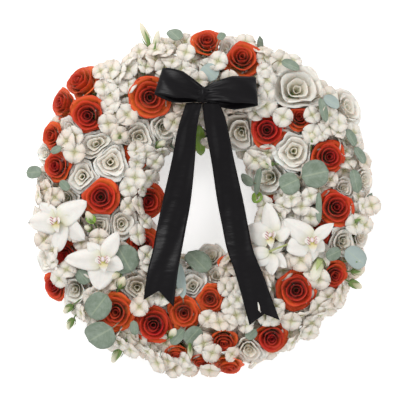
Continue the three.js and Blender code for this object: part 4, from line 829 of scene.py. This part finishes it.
def addLip(pile, middle, normal, down):
    side = unitVector(np.cross(down, normal))
    size = orchidLook["lip"]
    v, u = leafGrid(9, 9)
    half = size * 0.42 * np.sin((0.25 + 0.75 * v) * math.pi) ** 0.7 * (1 - 0.35 * v)
    grid = (middle + down * (v * size)[..., None] + side * (u * half)[..., None]
            + normal * (0.004 - 0.5 * size * (v - 0.45) ** 2 + 0.25 * size * u ** 2 * (1 - v))[..., None])
    tint = mix(orchidLook["throat"], orchidLook["white"], np.clip(v * 1.6 - 0.2, 0, 1))
    addSheet(pile, grid, tint, np.stack([u, v, v * 0 + 0.2], axis=2), 0.0007)
    for way in (-1, 1):  # the two lobes that stand beside the throat
        lobe = (middle + side * (way * (0.15 + 0.45 * v) * size * (0.5 + 0.5 * v))[..., None]
                + down * (u * size * 0.32 * np.sin((0.2 + 0.7 * v) * math.pi))[..., None]
                + normal * (0.003 + v * size * 0.45)[..., None])
        speckled = mix(orchidLook["throat"], orchidLook["white"], np.clip(v * 2.2, 0, 1))
        spots = (np.sin(u * 17 + v * 9) * np.sin(v * 23) > 0.55) & (v < 0.7)
        speckled = np.where(spots[..., None], np.array(orchidLook["speck"]), speckled)
        addSheet(pile, lobe, speckled, np.stack([u, v, v * 0 + 0.6], axis=2), 0.0007)
    path = [middle + normal * 0.001 - down * 0.001, middle + normal * 0.006 - down * 0.002,
            middle + normal * 0.009 + down * 0.001, middle + normal * 0.0095 + down * 0.003]
    addTube(pile, path, [0.0026, 0.0032, 0.0028, 0.0010], (0.86, 0.74, 0.76), 8)


for node in dict.fromkeys(row[0] for row in orchidRows):
    pile = newPile()
    for _, px, py, tepals in (row for row in orchidRows if row[0] == node):
        tips = [coverPoint(px + dx * 0.9, py - dy * 0.9) for dx, dy, _ in tepals]
        middle = coverPoint(px, py)
        rise = max(max(topUnder(point) + 0.0025 - point[2] for point in [middle, *tips]), 0.002)
        middle[2] += rise
        normal = outwardAt(middle)
        for k, (dx, dy, width) in enumerate(tepals):
            tip = coverPoint(px + dx, py - dy)
            tip[2] = (tip[2] + rise) * 0.65 + middle[2] * 0.35 - orchidLook["layers"][k]
            root = middle + (tip - middle) * 0.03 - np.array([0, 0, orchidLook["layers"][k]])
            addTepal(pile, root, tip, width * plan["unit"] * 1.08, normal, width > 17, orchidLook["white"])
            coverOver(root, tip, width * plan["unit"] * 0.40)
        down = unitVector(np.array([0.1, -1.0, 0.0]) - normal * np.dot([0.1, -1.0, 0.0], normal))
        if (px, py) == (270, 252):  # seen from behind, so its stem shows instead of its lip
            addTube(pile, [middle, middle + normal * 0.006, inPlan(287, 244, middle[2] + 0.004)],
                    0.0016, (0.45, 0.50, 0.20), 6, 1)
        else:
            addLip(pile, middle, normal, down)
        path = curved(middle - normal * 0.001, footUnder(middle), -normal, 6)
        addTube(pile, path, 0.0016, (0.22, 0.30, 0.10), 6, 1)
    if node == "orchid_right":
        addBud(pile, 320, 258, 312, 281, 16, ((0.62, 0.66, 0.36), (0.86, 0.84, 0.72), (0.42, 0.5, 0.2)))
    piece = makeObject("bloom_" + node, pile, [finishes["orchid"], finishes["stem"]])
    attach(piece, "root")
    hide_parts(node)
say("orchids made")

# Hydrangea florets, scattered on the places that the blooms leave free
floretLook = {"step": 0.0150, "apart": 0.0150, "clear": 0.0050, "smallest": 0.8, "largest": 1.15, "seed": 5,
              "size": 0.0175, "white": (0.84, 0.78, 0.70), "eye": (0.60, 0.60, 0.34), "under": 0.014,
              "reach": 0.29, "inner": 0.100, "outer": 0.278, "stray": 0.0025, "sink": 0.008, "lowest": 0.044,
              "depth": 0.055, "drop": 0.004, "tilt": 0.28, "recent": 160}
stalkLook = {"inner": 0.16, "outer": 0.22, "hubHeight": 0.052, "footHeight": 0.045, "gather": 0.25,
             "radius": 0.0007, "green": (0.35, 0.42, 0.2)}


def floretMesh():
    pile = newPile()
    for k in range(4):
        angle = k / 4 * 2 * math.pi
        out = np.array([math.cos(angle), math.sin(angle), 0])
        side = np.array([-math.sin(angle), math.cos(angle), 0])
        v, u = np.meshgrid([0.06, 0.45, 0.82, 1.0], [-1, 0, 1], indexing="ij")
        half = floretLook["size"] * np.array([0.08, 0.54, 0.66, 0.34])[:, None]
        twist = 0.10 * (-1) ** k * u * v
        lift = floretLook["size"] * (0.05 + 0.30 * v - 0.16 * u ** 2 * v - 0.12 * v ** 3 + twist)
        v = v - 0.07 * u ** 2 * v ** 4
        grid = (out * (v * floretLook["size"])[..., None] + side * (u * half)[..., None]
                + np.array([0, 0, 1.0]) * lift[..., None])
        tint = mix(floretLook["eye"], floretLook["white"], np.clip(v * 2.6 - 0.1, 0, 1))
        addSheet(pile, grid, tint, np.stack([u, v, v * 0 + k * 0.25], axis=2), 0.0004)
    angles = np.arange(5) / 5 * 2 * math.pi
    eye = np.array([[0.0013 * math.cos(a), 0.0013 * math.sin(a), h]
                    for h in (0.0008, 0.0022) for a in angles])
    faces = [(s, (s + 1) % 5, 5 + (s + 1) % 5, 5 + s) for s in range(5)]
    faces += [(5, 6, 7, 8, 9), (4, 3, 2, 1, 0)]
    pileUp(pile, eye, faces, floretLook["eye"], (0, 0, 0.9))
    return makeObject("floretPattern", pile, [finishes["floret"]], shift=False)


def scatterTree():
    tree = bpy.data.node_groups.new("floretScatter", "GeometryNodeTree")
    face = tree.interface
    face.new_socket("Geometry", in_out="INPUT", socket_type="NodeSocketGeometry")
    for label, kind in (("Floret", "NodeSocketObject"), ("Smallest", "NodeSocketFloat"),
                        ("Largest", "NodeSocketFloat"), ("Seed", "NodeSocketInt"),
                        ("Finish", "NodeSocketMaterial")):
        face.new_socket(label, in_out="INPUT", socket_type=kind)
    face.new_socket("Geometry", in_out="OUTPUT", socket_type="NodeSocketGeometry")
    nodes, links = tree.nodes, tree.links
    come, go = nodes.new("NodeGroupInput"), nodes.new("NodeGroupOutput")
    floret = nodes.new("GeometryNodeObjectInfo")
    links.new(come.outputs["Floret"], floret.inputs["Object"])
    facing = nodes.new("GeometryNodeInputNamedAttribute")
    facing.data_type = "FLOAT_VECTOR"
    facing.inputs["Name"].default_value = "facing"
    align = nodes.new("FunctionNodeAlignRotationToVector")
    align.axis = "Z"
    links.new(facing.outputs["Attribute"], align.inputs["Vector"])
    spin = nodes.new("FunctionNodeRandomValue")
    spin.data_type = "FLOAT"
    spin.inputs[3].default_value = fullTurn
    links.new(come.outputs["Seed"], spin.inputs["Seed"])
    about = nodes.new("FunctionNodeAxisAngleToRotation")
    about.inputs["Axis"].default_value = (0, 0, 1)
    links.new(spin.outputs[1], about.inputs["Angle"])
    turned = nodes.new("FunctionNodeRotateRotation")
    turned.rotation_space = "LOCAL"
    links.new(align.outputs["Rotation"], turned.inputs["Rotation"])
    links.new(about.outputs["Rotation"], turned.inputs["Rotate By"])
    size = nodes.new("FunctionNodeRandomValue")
    size.data_type = "FLOAT"
    links.new(come.outputs["Smallest"], size.inputs[2])
    links.new(come.outputs["Largest"], size.inputs[3])
    links.new(come.outputs["Seed"], size.inputs["Seed"])
    place = nodes.new("GeometryNodeInstanceOnPoints")
    links.new(come.outputs["Geometry"], place.inputs["Points"])
    links.new(floret.outputs["Geometry"], place.inputs["Instance"])
    links.new(turned.outputs["Rotation"], place.inputs["Rotation"])
    links.new(size.outputs[1], place.inputs["Scale"])
    real = nodes.new("GeometryNodeRealizeInstances")
    links.new(place.outputs["Instances"], real.inputs["Geometry"])
    finish = nodes.new("GeometryNodeSetMaterial")
    links.new(real.outputs["Geometry"], finish.inputs["Geometry"])
    links.new(come.outputs["Finish"], finish.inputs["Material"])
    links.new(finish.outputs["Geometry"], go.inputs["Geometry"])
    return tree


def scattered(name, tree, pattern, points, facing, look):
    mesh = bpy.data.meshes.new(name + "Places")
    mesh.from_pydata((points + np.array([plan["shift"][0], plan["shift"][1], 0])).tolist(), [], [])
    ways = mesh.attributes.new("facing", "FLOAT_VECTOR", "POINT")
    ways.data.foreach_set("vector", facing.astype(np.float32).ravel())
    holder = bpy.data.objects.new(name + "Holder", mesh)
    bpy.context.collection.objects.link(holder)
    modifier = holder.modifiers.new("scatter", "NODES")
    modifier.node_group = tree
    sockets = {item.name: item.identifier for item in tree.interface.items_tree if item.in_out == "INPUT"}
    for label, value in (("Floret", pattern), ("Smallest", look["smallest"]), ("Largest", look["largest"]),
                         ("Seed", look["seed"]), ("Finish", finishes["floret"])):
        modifier[sockets[label]] = value
    bpy.context.view_layer.update()
    plain = bpy.data.meshes.new_from_object(holder.evaluated_get(bpy.context.evaluated_depsgraph_get()))
    bpy.data.objects.remove(holder)
    plain.polygons.foreach_set("use_smooth", np.ones(len(plain.polygons), bool))
    piece = bpy.data.objects.new(name, plain)
    bpy.context.collection.objects.link(piece)
    return piece


for rows in tailRows.values():
    spine = [inPlan((left + right) / 2, py, z / 1000) for left, right, py, z in rows]
    for here, after, row in zip(spine, spine[1:], rows):
        coverOver(here, after, (row[1] - row[0]) / 2 * plan["unit"])


def freePlaces(look):
    found, ways = [], []
    steps = np.arange(-look["reach"], look["reach"], look["step"])
    stray = look["stray"]
    columns = [(x + rng.normal(0, stray), y + rng.normal(0, stray)) for x in steps for y in steps]
    for x, y in columns:
        radius = math.hypot(x, y)
        if not look["inner"] < radius < look["outer"]:
            continue
        arch = archHeight(radius, ring["coverSpread"], ring["coverRise"])
        top = min(arch - look["sink"], roomUnder(x, y))
        heights = np.arange(top, max(look["lowest"], top - look["depth"]), -look["drop"])
        gaps = bloomGap(np.array([[x, y, z] for z in heights]))
        clear = np.nonzero(gaps > look["clear"])[0]
        for k in clear[:1].tolist() + clear[5:6].tolist():
            point = np.array([x, y, heights[k] - 0.003 * rng.random()])
            if all(np.linalg.norm(other - point) > look["apart"] for other in found[-look["recent"]:]):
                found.append(point)
                ways.append(unitVector(outwardAt(point) + rng.normal(0, look["tilt"], 3)))
    return np.array(found), np.array(ways)


places, facings = freePlaces(floretLook)
pattern = floretMesh()
tree = scatterTree()
heads = [f"hydrangea_0{k}" for k in range(1, 10)]
middles = []
for head in heads:
    low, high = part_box(head)
    middles.append(((low[0] + high[0]) / 2 - plan["shift"][0], (low[1] + high[1]) / 2 - plan["shift"][1]))
owner = np.argmin([[math.hypot(p[0] - m[0], p[1] - m[1]) for p in places] for m in middles], axis=0)
stalks = newPile()
for k, head in enumerate(heads):
    mine = owner == k
    piece = scattered("florets_" + head, tree, pattern, places[mine], facings[mine], floretLook)
    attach(piece, "root")
    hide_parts(head)
    away = min(max(math.hypot(*middles[k]), stalkLook["inner"]), stalkLook["outer"])
    hub = unitVector([*middles[k], 0]) * away
    hub[2] = stalkLook["hubHeight"]
    for point in places[mine]:  # stalks of one head draw together towards its hub
        nearFoot = footUnder(point) * (1 - stalkLook["gather"]) + hub * stalkLook["gather"]
        nearFoot[2] = stalkLook["footHeight"]
        path = curved(point, nearFoot, -outwardAt(point) * 0.7, 4)
        addTube(stalks, path, stalkLook["radius"], stalkLook["green"], 4)
bpy.data.objects.remove(pattern)
stalkPiece = makeObject("floretStalks", stalks, [finishes["stem"]])
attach(stalkPiece, "root")
say("florets made:", len(places))

# Low greenery that closes the gaps over the foam
greenLook = {"count": 240, "length": 0.026, "width": 0.013, "inner": 0.112, "band": 0.155, "lowest": 0.050,
             "below": 0.040, "clear": 0.002}
greens = newPile()
for _ in range(greenLook["count"]):
    radius, angle = greenLook["inner"] + greenLook["band"] * rng.random(), rng.random() * fullTurn
    x, y = radius * math.cos(angle), radius * math.sin(angle)
    top = archHeight(radius, ring["coverSpread"], ring["coverRise"])
    base = np.array([x, y, max(greenLook["lowest"], top - greenLook["below"])])
    turn = rng.random() * fullTurn
    way = np.array([math.cos(turn), math.sin(turn), 0.35])
    tip = base + greenLook["length"] * (0.7 + 0.6 * rng.random()) * way
    samples = np.array([base + (tip - base) * share for share in (0.2, 0.6, 1.0)])
    if bloomGap(samples).min() < greenLook["clear"]:
        continue
    tone = leafLook[("dark", "powder", "fresh")[int(rng.integers(0, 3))]]
    # the low leaves take their tones at 0.8 strength: painted shade deep under the blooms
    addLeaf(greens, base, tip, greenLook["width"], np.array(tone) * 0.8, rows=6, columns=5)
greenPiece = makeObject("lowGreenery", greens, [finishes["leaf"], finishes["stem"]])
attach(greenPiece, "root")
say("greenery made")

# Ribbon
ribbonLook = {"width": 0.048, "thick": 0.0005, "knot": (203, 96, 0.128), "tint": (0.006, 0.005, 0.006),
              "endRow": 250, "knotWrap": 0.07,
              "loops": [(0.088, 0.026, 0.06, -0.35), (0.076, 0.022, math.pi - 0.3, 0.3)]}


def smoothRows(rows, count):
    rows = np.array(rows, float)
    keys = np.arange(len(rows))
    steps = np.linspace(0, len(rows) - 1, count)
    k = np.clip(np.floor(steps).astype(int), 0, len(rows) - 2)
    t = (steps - k)[:, None]
    before, after = rows[np.maximum(k - 1, 0)], rows[np.minimum(k + 2, len(rows) - 1)]
    a, b = rows[k], rows[k + 1]
    return 0.5 * (2 * a + (b - before) * t + (2 * before - 5 * a + 4 * b - after) * t ** 2
                  + (3 * a - before - 3 * b + after) * t ** 3)


def sheetArea(grid):
    a, b = grid[1:, :-1] - grid[:-1, :-1], grid[:-1, 1:] - grid[:-1, :-1]
    return float(np.linalg.norm(np.cross(a, b), axis=2).sum())


def stripLength(grid):
    return float(sum(np.linalg.norm(grid[1:, 6] - grid[:-1, 6], axis=1)))


def addRibbon(pile, grid):
    v, u = leafGrid(*grid.shape[:2])
    addSheet(pile, grid, ribbonLook["tint"], np.stack([u, v, v * 0], axis=2), ribbonLook["thick"])


def tailGrid(node):
    rows = smoothRows(tailRows[node], 70)
    left, middle, right = notchRows[node]
    across = np.linspace(0, 1, 13)
    last = rows[-1, 2]
    ends = np.interp(across, [0, 0.5, 1], [left, middle, right])
    grid = np.zeros((len(rows), len(across), 3))
    for c, share in enumerate(across):
        for r, (edgeLeft, edgeRight, py, z) in enumerate(rows):
            blend = np.clip((py - ribbonLook["endRow"]) / (last - ribbonLook["endRow"]), 0, 1)
            row = py + (ends[c] - last) * blend ** 1.5
            fold = 0.0011 * math.sin(share * 9 + py * 0.045) + 0.0009 * math.cos(share * 5.2 - py * 0.09)
            grid[r, c] = inPlan(edgeLeft + (edgeRight - edgeLeft) * share, row, z / 1000 + fold)
    return grid


def loopGrid(length, height, turn, tip):
    angles = np.linspace(0.02, 2 * math.pi - 0.02, 72)
    across = np.linspace(-0.5, 0.5, 13)
    out = length / 2 * (1 - np.cos(angles))
    grow = 0.45 + 0.55 * np.minimum(1, out / length * 1.8)
    rise = height / 2 * np.sin(angles)
    grid = np.zeros((len(angles), len(across), 3))
    for c, side in enumerate(across):
        gather = (1 - grow) * 0.006 * math.cos(side * 22)
        soft = 0.0012 * np.sin(side * 8 + angles * 3)
        grid[:, c] = np.stack([out, side * ribbonLook["width"] * grow, rise + gather + soft], axis=1)
    c, s = math.cos(tip), math.sin(tip)
    tipped = grid @ np.array([[1, 0, 0], [0, c, -s], [0, s, c]]).T
    c, s = math.cos(turn), math.sin(turn)
    return tipped @ np.array([[c, -s, 0], [s, c, 0], [0, 0, 1]]).T + inPlan(*ribbonLook["knot"])


for node in tailRows:
    grid = tailGrid(node)
    pile = newPile()
    addRibbon(pile, grid)
    piece = makeObject("satin_" + node, pile, [finishes["satin"]])
    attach(piece, "root")
    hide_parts(node)

pile, bowArea, bowLong = newPile(), 0.0, 0.0
for loop in ribbonLook["loops"]:
    grid = loopGrid(*loop)
    addRibbon(pile, grid)
    bowArea += sheetArea(grid)
    bowLong += stripLength(grid)
angles = np.linspace(0.05, 2 * math.pi + 0.3, 40)
sides = np.linspace(-1, 1, 11)
knot = np.zeros((len(angles), len(sides), 3))
for c, side in enumerate(sides):
    pinch = 1 - 0.10 * side ** 2 + 0.05 * math.cos(side * 9)
    knot[:, c] = inPlan(*ribbonLook["knot"]) + np.stack(
        [np.full(len(angles), side * 0.0095) + 0.001 * np.sin(angles * 2 + side),
         0.0125 * pinch * np.cos(angles), 0.0072 * pinch * np.sin(angles) + angles * 0.0001], axis=1)
addRibbon(pile, knot)
bowArea += sheetArea(knot)
bowLong += ribbonLook["knotWrap"]
bow = makeObject("satin_ribbon_bow", pile, [finishes["satin"]])
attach(bow, "root")
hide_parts("ribbon_bow")
say("ribbon made")

# The foam and the tray keep their solids
for node, finish in (("foam_ring", "foam"), ("tray_ring", "tray")):
    solid = frame["nodes"][node]
    solid.data.materials.clear()
    solid.data.materials.append(finishes[finish])

# Floor, light and camera
studio = {"distance": 2.6, "view": 0.66, "floor": 3.0, "sky": 0.72, "key": 24, "fill": 7, "glow": 0.5,
          "sensor": 36, "aim": (200, 200, 0.095)}
floor = bpy.data.meshes.new("paleFloor")
span = studio["floor"]
corners = [(-span, -span, 0), (span, -span, 0), (span, span, 0), (-span, span, 0)]
floor.from_pydata(corners, [], [(0, 1, 2, 3)])
floorPiece = bpy.data.objects.new("paleFloor", floor)
bpy.context.collection.objects.link(floorPiece)
paper, _, _, paperShader = newFinish("palePaper")
paperShader.inputs["Base Color"].default_value = (0.93, 0.93, 0.93, 1)
paperShader.inputs["Roughness"].default_value = 0.9
paperShader.inputs["Emission Color"].default_value = (1, 1, 1, 1)
paperShader.inputs["Emission Strength"].default_value = studio["glow"]
floor.materials.append(paper)

world = bpy.data.worlds.new("softSky")
bpy.context.scene.world = world
world.use_nodes = True
world.node_tree.nodes["Background"].inputs["Color"].default_value = (1, 1, 1, 1)
world.node_tree.nodes["Background"].inputs["Strength"].default_value = studio["sky"]


def areaLight(name, place, size, power):
    lamp = bpy.data.lights.new(name, "AREA")
    lamp.size, lamp.energy = size, power
    item = bpy.data.objects.new(name, lamp)
    item.location = place
    way = -np.array(place, float)
    item.rotation_euler = Vector(way).to_track_quat("-Z", "Y").to_euler()
    bpy.context.collection.objects.link(item)


areaLight("keyLight", (-1.1, 1.3, 1.9), 0.9, studio["key"])
areaLight("fillLight", (1.6, -0.6, 1.7), 1.4, studio["fill"])

middle = inPlan(*studio["aim"])
lens = bpy.data.cameras.new("overhead")
lens.sensor_width = studio["sensor"]
lens.lens = studio["sensor"] * studio["distance"] / studio["view"]
camera = bpy.data.objects.new("overhead", lens)
camera.location = (middle[0] + plan["shift"][0], middle[1] + plan["shift"][1],
                   middle[2] + studio["distance"])
bpy.context.collection.objects.link(camera)
bpy.context.scene.camera = camera
bpy.context.scene.view_settings.view_transform = "Standard"

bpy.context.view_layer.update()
say("done")
